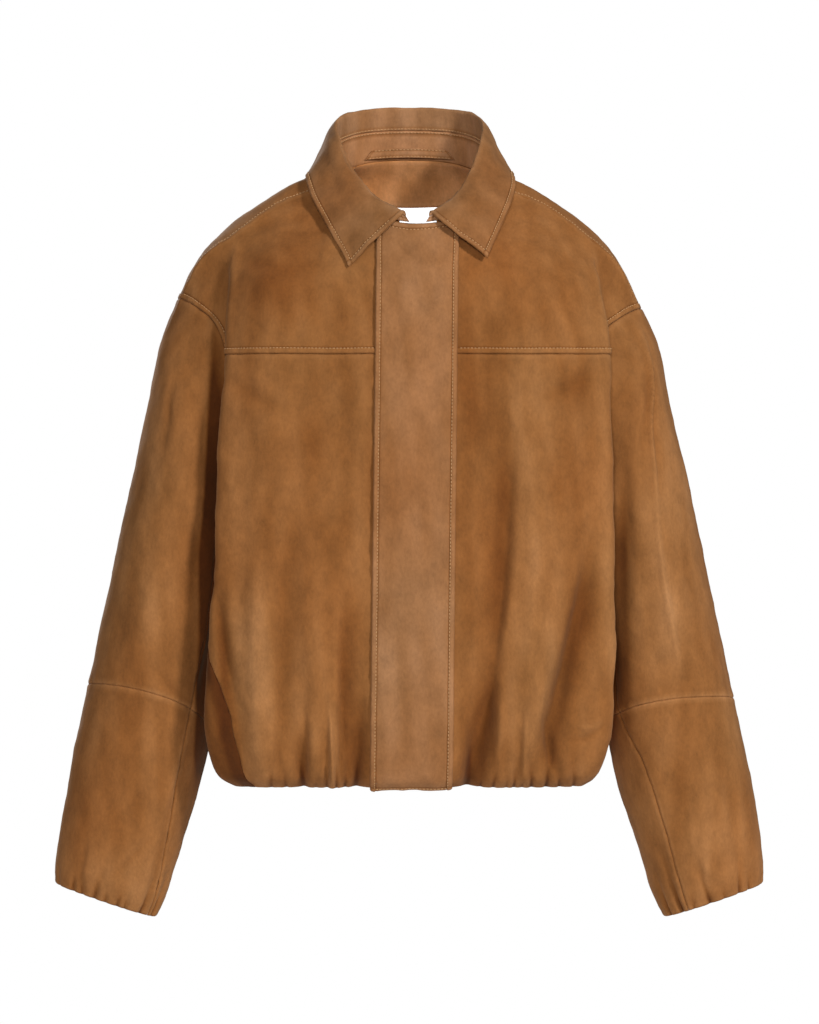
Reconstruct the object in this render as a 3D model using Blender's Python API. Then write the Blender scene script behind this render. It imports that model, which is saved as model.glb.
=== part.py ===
"""Cropped suede blouson jacket, filled out as if it is worn, with no wearer inside.

+X is the wearer's left, -Y is the front, +Z is up. The origin is at the middle of the
neck, where the shoulders meet the collar. Sizes below are in millimetres, and each mesh
is scaled to metres as it is made. Every piece of suede is a closed wall, cut from one
smooth surface for the body, one for each sleeve and one for the collar.
"""
from collections import namedtuple
import math

import bpy
import numpy as np

# ---- Driving sizes, in millimetres ------------------------------------------------
METRES = 0.001
SUEDE = 1.5                 # one layer
DOUBLE_SUEDE = 2.2          # two layers, as in the collar and the front band
SEAM_GAP = 0.3              # between two pieces that are sewn together
SKIVE = 1.0                 # how much further back the inner edge of a seam is cut
BAND_WIDTH = 76.0           # covered front band
BAND_LIFT = 0.7             # band above the fronts it lies on
BAND_TOP, BAND_HEM = 2.0, 529.0
FRONT_EDGE = 17.0           # from the closure line to the hidden edge of each front
CLOSURE_X, CLOSURE_LEAN = 8.2, 0.0115   # the closure line leans over the length
CHEST_LEVEL = 120.0         # levels run from 0 at the shoulder seam
UNDERARM_LEVEL = 236.0
HEM_LEVEL = 530.0
CUFF_LEVEL = 505.0          # along a sleeve, from 0 at the armhole
ELBOW_LEVEL = 352.0
NECK_COLUMN = 2             # the column that starts at the side of the neck

# Columns of the body, from the middle (0) to the side seam or armhole (1):
# middle, neck side, neck point, chest, fold, behind the fold, seam.
COLUMN_AT = np.array([0.0, 0.18, 0.36, 0.60, 0.76, 0.85, 1.0])
FACE_SHARE = (0.28, 0.53, 0.84)        # where the three face columns stand, of the fold
FACE_DEPTH = (0.99, 0.95, 0.66)        # and how far forward, between fold and middle

# The forward shoulder seam, from the neck point to the tip (x, y, z).
SHOULDER = [(79, -26, -17), (128, -28, -35), (165, -40, -62), (192, -37, -80), (217, -20, -120.5)]
NECK_FRONT = [(0, -76, -52), (44, -63, -43)]
NECK_BACK = [(0, 74, 17), (52, 58, 11)]
NECK_RUN = (0.22, 0.91, 0.35)   # which way the neckline runs at the neck point
NECK_END = 0.957                # where the collar ends: 0 middle back, 1 closure line
NECK_TURN_REACH = 70.0          # how far down the turn at the neck point fades out

# Sections of the front. The fold hangs in front of the sleeve; behind it the cloth
# runs back in to the seam.
Section = namedtuple(
    "Section",
    "level z middle_y fold_y fold_right fold_left behind_x behind_y seam_x seam_y seam_z",
)
FRONT = [
    Section(38, -97, -91, -57, 166.0, 175.0, 172, -46, 205, -36, -127),
    Section(72, -130, -100, -68, 168.0, 180.0, 169, -55, 186, -51, -142),
    Section(120, -176, -108, -77, 170.0, 186.0, 165, -63, 173, -62, -170),
    Section(176, -232, -113, -82, 175.0, 187.0, 162, -66, 166, -60, -222),
    Section(236, -292, -116, -84, 179.0, 188.0, 160, -56, 156, 0, -288),
    Section(326, -380, -118, -86, 182.0, 188.5, 160, -54, 156, 2, -380),
    Section(428, -482, -118, -88, 188.5, 189.5, 170, -56, 164, 2, -482),
    Section(482, -536, -116, -86, 188.5, 187.0, 177, -56, 174, 2, -536),
    Section(508, -561, -112, -81, 182.0, 178.0, 173, -52, 172, 2, -561),
    Section(521, -573, -106, -76, 174.0, 169.0, 167, -48, 166, 2, -573),
    Section(530, -580, -96, -68, 163.0, 160.0, 157, -42, 157, 2, -580),
]
# Sections of the back over the shoulder, one point (x, y, z) for each column.
BACK_SHOULDER = [
    (32, [(0, 86, -4), (60, 72, -3), (99, 2, -7), (137, 2, -26.5), (171, 0, -53), (196, 2, -78),
          (220.5, 6, -121)]),
    (66, [(0, 95, -36), (58, 90, -34), (104, 66, -30), (142, 55, -46), (172, 47, -69),
          (194, 42, -91), (214, 34, -129)]),
    (112, [(0, 104, -84), (54, 102, -84), (100, 96, -85), (141, 85, -94), (167, 73, -107),
           (186, 64, -122), (198, 56, -154)]),
    (158, [(0, 109, -145), (52, 108, -145), (96, 105, -146), (142, 94, -149), (169, 81, -156),
           (181, 73, -168), (181, 67, -192)]),
]
BACK = [
    Section(200, -226, 112, 82, 175.0, 175.0, 168, 68, 166, 58, -240),
    Section(236, -292, 113, 84, 179.0, 179.0, 160, 54, 156, 0, -288),
    Section(326, -380, 112, 84, 182.0, 182.0, 160, 52, 156, 2, -380),
    Section(428, -482, 110, 84, 187.0, 187.0, 170, 54, 164, 2, -482),
    Section(482, -536, 107, 82, 187.0, 187.0, 177, 54, 174, 2, -536),
    Section(508, -561, 103, 77, 180.0, 180.0, 173, 50, 172, 2, -561),
    Section(521, -573, 98, 72, 172.0, 172.0, 166, 46, 166, 2, -573),
    Section(530, -580, 88, 64, 162.0, 162.0, 157, 42, 157, 2, -580),
]
# The wearer's left shoulder tip hangs lower: level, drop of the seam.
LEFT_DROP = [(0, 10), (40, 9), (80, 7), (130, 4), (236, 0)]
DROP_BESIDE = 0.4               # share of the drop that the column beside the seam takes
# The right side seam swings forward round the fold towards the hem: level, column.
RIGHT_SEAM = [(236, 1.0), (285, 0.98), (340, 0.91), (392, 0.79), (430, 0.735), (458, 0.705),
              (530, 0.685)]

# Folds that hang in the fronts: x and z of both ends, half width, height (+ out, - in).
Fold = namedtuple("Fold", "x_top z_top x_end z_end width height")
FRONT_FOLDS = [
    Fold(-44, -460, -48, -582, 9, -4.0),
    Fold(-100, -500, -102, -582, 7, -3.0),
    Fold(-72, -500, -70, -582, 5, 2.5),
    Fold(-158, -470, -157, -582, 7, -3.5),
    Fold(96, -425, 54, -582, 12, -7.0),
    Fold(166, -372, 126, -545, 11, -6.5),
    Fold(142, -325, 116, -540, 13, 4.5),
    Fold(60, -330, 88, -520, 26, 3.0),
    Fold(-130, -330, -122, -540, 24, 3.0),
]
BACK_FOLDS = [
    Fold(-96, -330, -82, -582, 14, -5.0),
    Fold(-40, -420, -30, -582, 10, -3.5),
    Fold(28, -380, 20, -582, 12, -4.0),
    Fold(104, -340, 88, -582, 14, -5.5),
    Fold(-150, -180, -128, -420, 16, -4.0),
    Fold(152, -190, 130, -430, 16, -4.0),
]
FOLD_START, FOLD_FULL, FOLD_PAST = 0.0, 0.7, 1.25   # shares of a fold's length
SEAM_CALM = 0.12                # share of a front beside its side seam that lies flat
HEM_GATHERS_FRONT, HEM_GATHERS_BACK = 11, 20   # waves on each front, and on the back
GATHER_HEIGHT = 2.2
GATHER_REACH, GATHER_FULL = 46.0, 8.0          # they rise between these, above the hem
GATHER_DRIFT, GATHER_DRIFT_RATE = 0.9, 3.1     # how unevenly they are spaced
GATHER_CHANGE, GATHER_CHANGE_RATE = 0.25, 7.3  # and how unlike they are in height
BAND_CALM = (0.20, 0.30)                       # columns where they start beside the band
CUFF_GATHERS, CUFF_GATHER_HEIGHT, CUFF_DRIFT = 11, 2.0, 0.8
CUFF_REACH, CUFF_FULL = 38.0, 6.0

# Sections of a sleeve: the outer and inner points of each ring, its middle and depth.
Ring = namedtuple("Ring", "level out_x out_z in_x in_z middle_y depth")
SLEEVE = [
    Ring(40, 235, -160, 164, -303, 2, 132),
    Ring(92, 247, -215, 167, -336, 2, 141),
    Ring(170, 266, -302, 170, -392, 1, 142),
    Ring(262, 287, -402, 176, -458, -1, 136),
    Ring(352, 306, -492, 185, -524, -4, 127),
    Ring(445, 324.5, -583, 208, -615, -9, 112),
    Ring(485, 333, -645, 228, -676, -12, 92),
    Ring(505, 335, -674, 240, -706, -14, 68),
]
RING_POWER = 2.2            # 2 is an ellipse, more is boxier
# Seams of the sleeve: angle on the ring in degrees, from the outside (0) round the
# front (90) to the inside (180). Level, right sleeve, left sleeve.
FRONT_SLEEVE_SEAM = [(0, 138, 138), (352, 128, 142), (390, 126, 126), (430, 130, 120),
                     (505, 150, 119)]
BACK_SLEEVE_SEAM = 240.0
# Elbow seam: angle, how far the seam lies below the elbow ring on each sleeve.
ELBOW_SEAM = [(0, -5, 9), (60, -15, -3), (100, -19, -14), (130, -13, -13), (160, 3, -5),
              (200, 4, 0), (270, 0, 4), (360, -5, 9)]
SLEEVE_FOLD_LEAN, SLEEVE_FOLD_TAPER = 6.0, 0.62
ARMHOLE_CALM = 30.0         # no fold starts closer to the armhole seam
SLEEVE_FOLDS = [            # angle, level of both ends, half width in degrees, height
    (60, 20, 150, 9, -4.0),
    (112, 90, 260, 12, -5.0),
    (78, 190, 330, 14, 3.0),
    (140, 250, 345, 11, -4.0),
    (300, 40, 200, 14, -4.0),
    (250, 200, 340, 13, -4.0),
    (100, 400, 480, 10, -3.0),
    (285, 380, 480, 13, -3.5),
]

# Sections of the collar from the middle of the back (0) to the front end (1): the
# roll line, how far the cloth turns out, forward and down over it, the outer edge,
# and how far each section follows the closure line.
Collar = namedtuple(
    "Collar", "at roll_x roll_y roll_z out forward down edge_x edge_y edge_z follow"
)
COLLAR = [
    Collar(0.00, 0, 67, 67.5, 7.5, 0, 6.0, 0, 91, -4, 0.0),
    Collar(0.20, 48, 57, 64, 7.0, 0, 6.0, 56, 84, -5, 0.0),
    Collar(0.38, 69, 20, 51, 6.5, 0, 5.0, 95, 38, -5, 0.0),
    Collar(0.52, 67, -14, 31, 6.5, 0, 3.0, 99, -8, -5, 0.1),
    Collar(0.70, 53, -42, -4, 7.5, 3, 1.5, 96, -40, -25, 0.4),
    Collar(0.86, 36, -60, -27, 7.0, 4, 2.5, 83, -67, -55, 0.7),
    Collar(1.00, 12, -75, -43, 7.0, 5.5, 5.5, 65, -94, -94, 1.0),
]
COLLAR_FOLLOW_X = 7.5
COLLAR_LEFT_LIFT = 8.0      # the left point sits higher
ACROSS_AT = np.array([0.0, 0.30, 0.44, 0.52, 0.74, 1.0])
COLLAR_COLUMNS = 29
STAND_ROWS = [0.006, 0.15, 0.27]                # across the collar, up to the seam
FALL_ROWS = [0.27, 0.36, 0.41, 0.44, 0.47, 0.52, 0.60, 0.70, 0.80, 0.90, 1.0]
FREE_ROWS = 6                                  # of the fall's rows stand clear of the body
STAND_SHARE = 0.62          # of the height from neck seam to roll line
FALL_SHARE = 0.45           # of the way from the turn to the outer edge
COLLAR_CLEARANCE = 0.8      # collar above the body it lies on
COLLAR_REACH = 200.0        # the collar lies on no level of the body below this

FACING_ROWS = 5             # of the back's rows, from the neck seam
FACING_STEPS = 7            # of the back's columns, to each side of the middle
LOOP_HALF_TOP, LOOP_HALF_BOTTOM = 36.0, 43.0
LOOP_TOP_Z, LOOP_BOTTOM_Z = 27.0, 17.5
LOOP_GAP, LOOP_SAG, LOOP_THICKNESS = 0.8, 3.0, 1.6   # its ends lie against the stand
LOOP_REACH = 0.3                               # share of the collar it is within
LOOP_POINTS = 13
FACING_THICKNESS = 1.2
LABEL_HALF_WIDTH, LABEL_THICKNESS = 29.0, 0.6
LABEL_ROWS = [0.6, 17.0, 40.0]                 # down the back, from the facing's edge
ZIP_TOP = 0.3
TAPE_WIDTH, TAPE_THICKNESS = 44.0, 1.1
SLIDER_WIDTH, SLIDER_LENGTH = 12.0, 9.0

# ---- Finishes ---------------------------------------------------------------------
SUEDE_TAN = (0.29, 0.135, 0.055)
SUEDE_BAND = (0.33, 0.160, 0.070)
SUEDE_INSIDE = (0.25, 0.120, 0.055)
LABEL_WHITE = (0.86, 0.85, 0.81)
TAPE_BROWN = (0.09, 0.045, 0.025)
ZIP_STEEL = (0.42, 0.41, 0.40)


def finish(name, colour, roughness, metallic=0.0):
    """A Principled material with one colour."""
    made = bpy.data.materials.get(name)
    if made:
        return made
    made = bpy.data.materials.new(name)
    made.use_nodes = True
    shader = made.node_tree.nodes["Principled BSDF"]
    shader.inputs["Base Color"].default_value = (*colour, 1.0)
    shader.inputs["Roughness"].default_value = roughness
    shader.inputs["Metallic"].default_value = metallic
    return made


# ---- Smooth curves through rows of points -------------------------------------------
def curve(knots, points, at, corner=None, sharpness=0.0, run=None):
    """Points on a smooth curve. points is (n, k, 3), at is (n,), knots is (k,).

    At the knot numbered corner the two sides may meet at an angle, as a seam does
    where it turns; sharpness blends from smooth (0) to straight sides (1). Where run
    is given, the curve arrives at the corner in that direction.
    """
    spans = np.diff(knots)
    slopes = np.diff(points, axis=1) / spans[:, None]
    middle = (slopes[:, :-1] * spans[1:, None] + slopes[:, 1:] * spans[:-1, None])
    middle = middle / (spans[:-1] + spans[1:])[:, None]
    arriving = np.concatenate([slopes[:, :1], middle, slopes[:, -1:]], axis=1)
    leaving = arriving.copy()
    if corner is not None:
        blend = np.broadcast_to(sharpness, at.shape)[:, None]
        straight = slopes[:, corner - 1]
        if run is not None:
            straight = np.linalg.norm(straight, axis=1)[:, None] * run
        arriving[:, corner] += blend * (straight - arriving[:, corner])
        leaving[:, corner] += blend * (slopes[:, corner] - leaving[:, corner])
    span = np.clip(np.searchsorted(knots, at, side="right") - 1, 0, len(knots) - 2)
    row = np.arange(len(at))
    width = spans[span][:, None]
    t = (at[:, None] - knots[span][:, None]) / width
    start, end = points[row, span], points[row, span + 1]
    return (
        start * (2 * t**3 - 3 * t**2 + 1)
        + leaving[row, span] * width * (t**3 - 2 * t**2 + t)
        + end * (3 * t**2 - 2 * t**3)
        + arriving[row, span + 1] * width * (t**3 - t**2)
    )


def ramp(value, low, high):
    """0 below low, 1 above high, smooth between."""
    t = np.clip((value - low) / (high - low), 0.0, 1.0)
    return t * t * (3 - 2 * t)


def from_table(rows, at, column=1):
    """Value of one column of a short table at a level between its rows."""
    table = np.array(rows, float)
    return np.interp(at, table[:, 0], table[:, column])


# ---- The body ---------------------------------------------------------------------
def closure_x(z):
    return CLOSURE_X + CLOSURE_LEAN * z


def half_section(section, side, face):
    """The seven columns of one section. side is -1 right, 1 left; face -1 front, 1 back."""
    fold = side * (section.fold_right if side < 0 else section.fold_left)
    middle_x = closure_x(section.z) if face < 0 else 0.0
    points = [(middle_x, section.middle_y, section.z)]
    for share, depth in zip(FACE_SHARE, FACE_DEPTH):
        x = middle_x + share * (fold - middle_x)
        y = section.fold_y + depth * (section.middle_y - section.fold_y)
        points.append((x, y, section.z))
    points.append((fold, section.fold_y, section.z))
    points.append((side * section.behind_x, section.behind_y, section.z))
    points.append((side * section.seam_x, section.seam_y, section.seam_z))
    return points


def body_rows(side, face):
    """Levels and control points (level, column, xyz) of a quarter of the body."""
    neck = NECK_FRONT if face < 0 else NECK_BACK
    shift = closure_x(-52) if face < 0 else 0.0
    top = [(side * x + shift, y, z) for x, y, z in neck]
    top += [(side * x, y, z) for x, y, z in SHOULDER]
    levels, rows = [0.0], [top]
    if face > 0:
        for level, points in BACK_SHOULDER:
            levels.append(level)
            rows.append([(side * x, y, z) for x, y, z in points])
    for section in FRONT if face < 0 else BACK:
        levels.append(section.level)
        rows.append(half_section(section, side, face))
    rows = np.array(rows, float)
    levels = np.array(levels, float)
    if side > 0:
        drop = from_table(LEFT_DROP, levels)
        rows[:, -1, 2] -= drop
        rows[:, -2, 2] -= DROP_BESIDE * drop
    return levels, rows


BODY = {(side, face): body_rows(side, face) for side in (-1, 1) for face in (-1, 1)}


def quarter(u, level, side, face):
    """Points of a quarter of the body; u runs from the middle (0) to the seam (1)."""
    levels, rows = BODY[side, face]
    other = BODY[-side, face][1]
    full = np.concatenate([other[:, 1:2], rows], axis=1)
    underarm = int(np.searchsorted(levels, UNDERARM_LEVEL))
    columns = []
    for column in range(full.shape[1]):
        points = np.broadcast_to(full[None, :, column], (len(level), len(levels), 3))
        at_seam = column == full.shape[1] - 1
        columns.append(
            curve(levels, points, level, underarm if at_seam else None, 1.0)
        )
    across = np.stack(columns, axis=1)
    knots = np.concatenate([[-COLUMN_AT[1]], COLUMN_AT])
    turn = 1.0 - ramp(level, 0.0, NECK_TURN_REACH)
    run = np.array(NECK_RUN) * (side, 1, 1) * -face
    return curve(knots, across, u, NECK_COLUMN + 1, turn, run)


def smooth_body(a, level):
    """Points of the body's smooth surface. a runs -1 (right seam) to 1 (left seam)
    over the front, and 1 to 3 over the back; past 3 it comes round to the front."""
    a = np.where(a > 3, a - 4, a)
    face = np.where(a > 1, 1, -1)
    u = np.where(a > 1, 2 - a, a)
    points = np.zeros((len(a), 3))
    for side in (-1, 1):
        for way in (-1, 1):
            chosen = (face == way) & ((u < 0) == (side < 0))
            if chosen.any():
                points[chosen] = quarter(np.abs(u[chosen]), level[chosen], side, way)
    return points


def normals_of(surface, a, b, step_a, step_b, low_a, high_a):
    """Outward directions of a surface, from steps to each side that stay on it."""
    along = surface(np.minimum(a + step_a, high_a), b) - surface(np.maximum(a - step_a, low_a), b)
    down = surface(a, b + step_b) - surface(a, b - step_b)
    across = np.cross(down, along)
    return across / np.linalg.norm(across, axis=1)[:, None]


def body_normals(a, level):
    """Outward directions; above the underarm the steps stop at the armhole."""
    above = level < UNDERARM_LEVEL
    front = (a <= 1.0) & above
    back = (a > 1.0) & above
    low = np.where(front, -1.0, np.where(back, 1.0 + 1e-6, -9.0))
    high = np.where(front, 1.0, np.where(back, 3.0, 9.0))
    level = np.clip(level, 0.6, HEM_LEVEL - 0.6)
    return normals_of(smooth_body, a, level, 0.004, 0.5, low, high)


def fold_height(points, folds):
    """Sum of the hanging folds at points, each a rounded ridge or trough."""
    height = np.zeros(len(points))
    x, z = points[:, 0], points[:, 2]
    for fold in folds:
        share = (z - fold.z_top) / (fold.z_end - fold.z_top)
        centre = fold.x_top + share * (fold.x_end - fold.x_top)
        rise = ramp(share, FOLD_START, FOLD_FULL)
        fade = 1.0 - ramp(share, 1.0, FOLD_PAST)
        width = fold.width * (0.6 + 0.5 * np.clip(share, 0, 1))
        height += fold.height * rise * fade * np.exp(-(((x - centre) / width) ** 2))
    return height


def body(a, level, lift=0.0):
    """Points of the body with its folds and gathers, moved out by lift."""
    points = smooth_body(a, level)
    out = body_normals(a, level)
    front = (a <= 1.0) | (a > 3.0)
    edge = ramp(np.abs(np.abs(np.where(a > 3, a - 4, a)) - 1.0), 0.0, SEAM_CALM)
    height = np.where(front, fold_height(points, FRONT_FOLDS), fold_height(points, BACK_FOLDS))
    down = ramp(level, HEM_LEVEL - GATHER_REACH, HEM_LEVEL - GATHER_FULL)
    waves = np.where(front, 2 * HEM_GATHERS_FRONT, HEM_GATHERS_BACK)
    phase = math.pi * waves * a + GATHER_DRIFT * np.sin(GATHER_DRIFT_RATE * a + 1.0)
    change = 1.0 - GATHER_CHANGE * (1.0 - np.sin(GATHER_CHANGE_RATE * a))
    beside_band = np.where(front, ramp(np.abs(a), *BAND_CALM), 1.0)
    height = height + GATHER_HEIGHT * down * np.sin(phase) * change * beside_band
    return points + out * (height * edge + lift)[:, None]


# ---- The sleeves ------------------------------------------------------------------
def armhole(side, angle):
    """Points of the armhole seam; angle in degrees, from the top round the front."""
    steps, over_steps = 60, 8
    down = np.linspace(0.0, UNDERARM_LEVEL, steps)
    ridge = BACK_SHOULDER[0][0]
    front = smooth_body(np.full(steps, float(side)), down)
    back_side = 1.0 + 1e-9 if side > 0 else 3.0
    over = smooth_body(np.full(over_steps, back_side), np.linspace(ridge, 0.0, over_steps))[:-1]
    up = smooth_body(np.full(steps, back_side), np.linspace(UNDERARM_LEVEL, ridge, steps))
    loops = []
    for half in (np.concatenate([over, front]), up):
        length = np.concatenate([[0], np.cumsum(np.linalg.norm(np.diff(half, axis=0), axis=1))])
        loops.append((half, length / length[-1]))
    turn = np.mod(angle, 360.0) / 180.0
    turn = np.where(np.isclose(angle, 360.0), 2.0, turn)
    result = np.zeros((len(turn), 3))
    for number, (half, share) in enumerate(loops):
        chosen = (turn >= number) & (turn <= number + 1)
        for axis in range(3):
            result[chosen, axis] = np.interp(turn[chosen] - number, share, half[:, axis])
    return result


def sleeve_rings(side, angle):
    """Control points (n, ring, 3) of a sleeve at each angle."""
    turn = np.radians(angle)
    cos, sin = np.cos(turn), np.sin(turn)
    across = np.sign(cos) * np.abs(cos) ** (2 / RING_POWER)
    forward = np.sign(sin) * np.abs(sin) ** (2 / RING_POWER)
    rings = [armhole(side, angle)]
    for ring in SLEEVE:
        x = (ring.out_x + ring.in_x) / 2 + across * (ring.out_x - ring.in_x) / 2
        z = (ring.out_z + ring.in_z) / 2 + across * (ring.out_z - ring.in_z) / 2
        y = ring.middle_y - forward * ring.depth / 2
        rings.append(np.stack([side * x, y, z], axis=1))
    return np.stack(rings, axis=1)


def smooth_sleeve(side, angle, level):
    knots = np.array([0.0] + [ring.level for ring in SLEEVE])
    return curve(knots, sleeve_rings(side, angle), level)


def sleeve(side, angle, level, lift=0.0):
    """Points of a sleeve with its folds and cuff gathers, moved out by lift."""
    def surface(a, b):
        return smooth_sleeve(side, a, b)

    points = surface(angle, level)
    inside = np.clip(level, 0.6, CUFF_LEVEL - 0.6)
    out = normals_of(surface, angle, inside, 1.0, 0.5, -999.0, 999.0) * side
    height = np.zeros(len(angle))
    for centre, start, end, width, rise in SLEEVE_FOLDS:
        middle, reach = (start + end) / 2, (end - start) / 2
        lean = centre + SLEEVE_FOLD_LEAN * side * (level - middle) / reach
        along = np.exp(-(((level - middle) / (SLEEVE_FOLD_TAPER * reach)) ** 2))
        height += rise * along * np.exp(-(((angle - lean) / width) ** 2))
    down = ramp(level, CUFF_LEVEL - CUFF_REACH, CUFF_LEVEL - CUFF_FULL)
    turn = np.radians(angle)
    wave = np.sin(CUFF_GATHERS * turn + CUFF_DRIFT * np.sin(3 * turn))
    height = height * ramp(level, 0.0, ARMHOLE_CALM) + CUFF_GATHER_HEIGHT * down * wave
    return points - out * (height + lift)[:, None]


# ---- The collar -------------------------------------------------------------------
def neckline(s):
    """Points of the neck seam; s runs -1 (right front end) to 1 (left front end)."""
    place = np.abs(s) * NECK_END
    half = COLUMN_AT[NECK_COLUMN]
    behind = place <= 0.5
    u = np.where(behind, place * 2 * half, (1 - place) * 2 * half)
    side = np.where(s < 0, -1.0, 1.0)
    return smooth_body(np.where(behind, 2 - side * u, side * u), np.zeros(len(s)))


def collar_rows(side):
    """Roll line, turn, fall and edge of each section, (section, column, xyz)."""
    rows = []
    for place, row in enumerate([COLLAR[1]] + COLLAR):
        way = side if place else -side
        shift = COLLAR_FOLLOW_X * row.follow
        lift = COLLAR_LEFT_LIFT * row.at**3 if side > 0 and place else 0.0
        roll = np.array([way * row.roll_x + shift, row.roll_y, row.roll_z])
        edge = np.array([way * row.edge_x + shift, row.edge_y, row.edge_z + lift])
        run = edge - roll
        level = run * (1, 1, 0)
        level = level / np.linalg.norm(level)
        turn = roll + row.out * level - (0, row.forward, row.down)
        fall = turn + FALL_SHARE * (edge - turn)
        rows.append([roll, turn, fall, edge])
    return np.array(rows)


def smooth_collar(s, across):
    """Points of the collar. s runs -1 (right front end) to 1 (left front end);
    across runs 0 (neck seam) over the roll line (0.44) to the outer edge (1)."""
    knots = np.array([-COLLAR[1].at] + [row.at for row in COLLAR])
    neck = neckline(s)
    result = np.zeros((len(s), 3))
    for side in (-1, 1):
        rows = collar_rows(side)
        chosen = (s < 0) == (side < 0)
        if not chosen.any():
            continue
        place = np.abs(s[chosen])
        columns = [neck[chosen]]
        for c in range(rows.shape[1]):
            points = np.broadcast_to(rows[None, :, c], (len(place), len(knots), 3))
            columns.append(curve(knots, points, place))
        stand = columns[0] + STAND_SHARE * (columns[1] - columns[0])
        columns.insert(1, stand)
        result[chosen] = curve(ACROSS_AT, np.stack(columns, axis=1), across[chosen])
    return result


def collar(s, across, lift=0.0):
    """Points of the collar's outer side, or lift below it."""
    inner = np.clip(across, 0.01, 0.99)
    under = normals_of(smooth_collar, s, inner, 0.004, 0.005, -1.0, 1.0)
    return smooth_collar(s, across) + under * lift


def rest_on_body(points, clearance):
    """Move points out where they are closer to the body than clearance."""
    a, level = np.meshgrid(np.linspace(-1, 3, 241), np.linspace(0, COLLAR_REACH, 81))
    a, level = a.ravel(), level.ravel()
    cloth = smooth_body(a, level)
    out = body_normals(a, level)
    moved = points.copy()
    for number, point in enumerate(points):
        nearest = np.argmin(((cloth - point) ** 2).sum(axis=1))
        height = (point - cloth[nearest]) @ out[nearest]
        if height < clearance:
            moved[number] += out[nearest] * (clearance - height)
    return moved


# ---- Walls ------------------------------------------------------------------------
def pull_edges(grid, amount, edges):
    """Move the named edges of a grid (rows, columns, 3) in by amount."""
    moved = grid.copy()
    for edge in edges:
        first, second = {
            "top": (np.s_[0, :], np.s_[1, :]),
            "bottom": (np.s_[-1, :], np.s_[-2, :]),
            "start": (np.s_[:, 0], np.s_[:, 1]),
            "end": (np.s_[:, -1], np.s_[:, -2]),
        }[edge]
        step = grid[second] - grid[first]
        moved[first] += amount * step / np.linalg.norm(step, axis=-1)[..., None]
    return moved


def wall(name, outer, inner, material, seams=()):
    """A closed wall between two grids of points of the same shape."""
    outer = pull_edges(outer, SEAM_GAP / 2, seams)
    inner = pull_edges(inner, SEAM_GAP / 2 + SKIVE, seams)
    rows, columns = outer.shape[:2]
    points = np.concatenate([outer.reshape(-1, 3), inner.reshape(-1, 3)]) * METRES
    back = rows * columns
    faces = []
    for r in range(rows - 1):
        for c in range(columns - 1):
            near = r * columns + c
            far = near + columns + 1
            for ring in ((near, near + columns, far), (near, far, near + 1)):
                faces.append(ring)
                faces.append(tuple(back + corner for corner in reversed(ring)))
    rim = [(0, c) for c in range(columns)]
    rim += [(r, columns - 1) for r in range(1, rows)]
    rim += [(rows - 1, c) for c in range(columns - 2, -1, -1)]
    rim += [(r, 0) for r in range(rows - 2, 0, -1)]
    rim = [r * columns + c for r, c in rim]
    for here, there in zip(rim, rim[1:] + rim[:1]):
        faces.append((here, there, back + there, back + here))
    mesh = bpy.data.meshes.new(name)
    mesh.from_pydata(points.tolist(), [], faces)
    mesh.validate()
    mesh.shade_smooth()
    mesh.set_sharp_from_angle(angle=math.radians(50))
    mesh.materials.append(material)
    piece = bpy.data.objects.new(name, mesh)
    bpy.context.scene.collection.objects.link(piece)
    if signed_volume(mesh) < 0:
        mesh.flip_normals()
    return piece


def signed_volume(mesh):
    """Positive when the faces point out."""
    total = 0.0
    for face in mesh.polygons:
        corners = [mesh.vertices[v].co for v in face.vertices]
        for second, third in zip(corners[1:], corners[2:]):
            total += corners[0].dot(second.cross(third))
    return total


def grid_of(surface, starts, ends, levels, columns, *lift):
    """Rows of points of a surface; each level has its own start and end column.
    columns is how many there are, or the share of the way that each one stands at."""
    starts = np.broadcast_to(starts, levels.shape[:1])
    ends = np.broadcast_to(ends, levels.shape[:1])
    share = np.linspace(0, 1, columns) if np.ndim(columns) == 0 else columns
    a = starts[:, None] + (ends - starts)[:, None] * share
    b = np.repeat(levels[:, None], len(share), axis=1)
    return surface(a.ravel(), b.ravel(), *lift).reshape(len(levels), len(share), 3)


def body_wall(name, starts, ends, levels, columns, material, seams, lift=0.0, thickness=SUEDE):
    outer = grid_of(body, starts, ends, levels, columns, lift)
    inner = grid_of(body, starts, ends, levels, columns, lift - thickness)
    return wall(name, outer, inner, material, seams)


def column_for_x(side, level, offset):
    """Column at which a front stands offset from the closure line."""
    levels, rows = BODY[side, -1]
    reach = np.interp(level, levels, np.abs(rows[:, 1, 0] - rows[:, 0, 0]))
    return side * COLUMN_AT[1] * offset / reach


YOKE_LEVELS = np.linspace(0.0, CHEST_LEVEL, 8)
SIDE_LEVELS = [236, 285, 340, 392, 430, 458, 482, 498, 511, 521, 526, 530]
FRONT_LEVELS = np.array([120, 158, 198] + SIDE_LEVELS, float)
BACK_LEVELS = np.array([0, 14, 30, 44, 57, 74, 98, 128, 158, 186, 212] + SIDE_LEVELS, float)
BACK_COLUMNS = 45
FRONT_COLUMNS, BAND_COLUMNS = 30, 9
YOKE_START = 3              # the yoke's second column stands at this one of the back
UPPER_ROWS, LOWER_ROWS, LOWER_CROWD = 10, 9, 1.6   # rows crowd towards the cuff
TOP_COLUMNS, UNDER_COLUMNS = 23, 12


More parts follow.
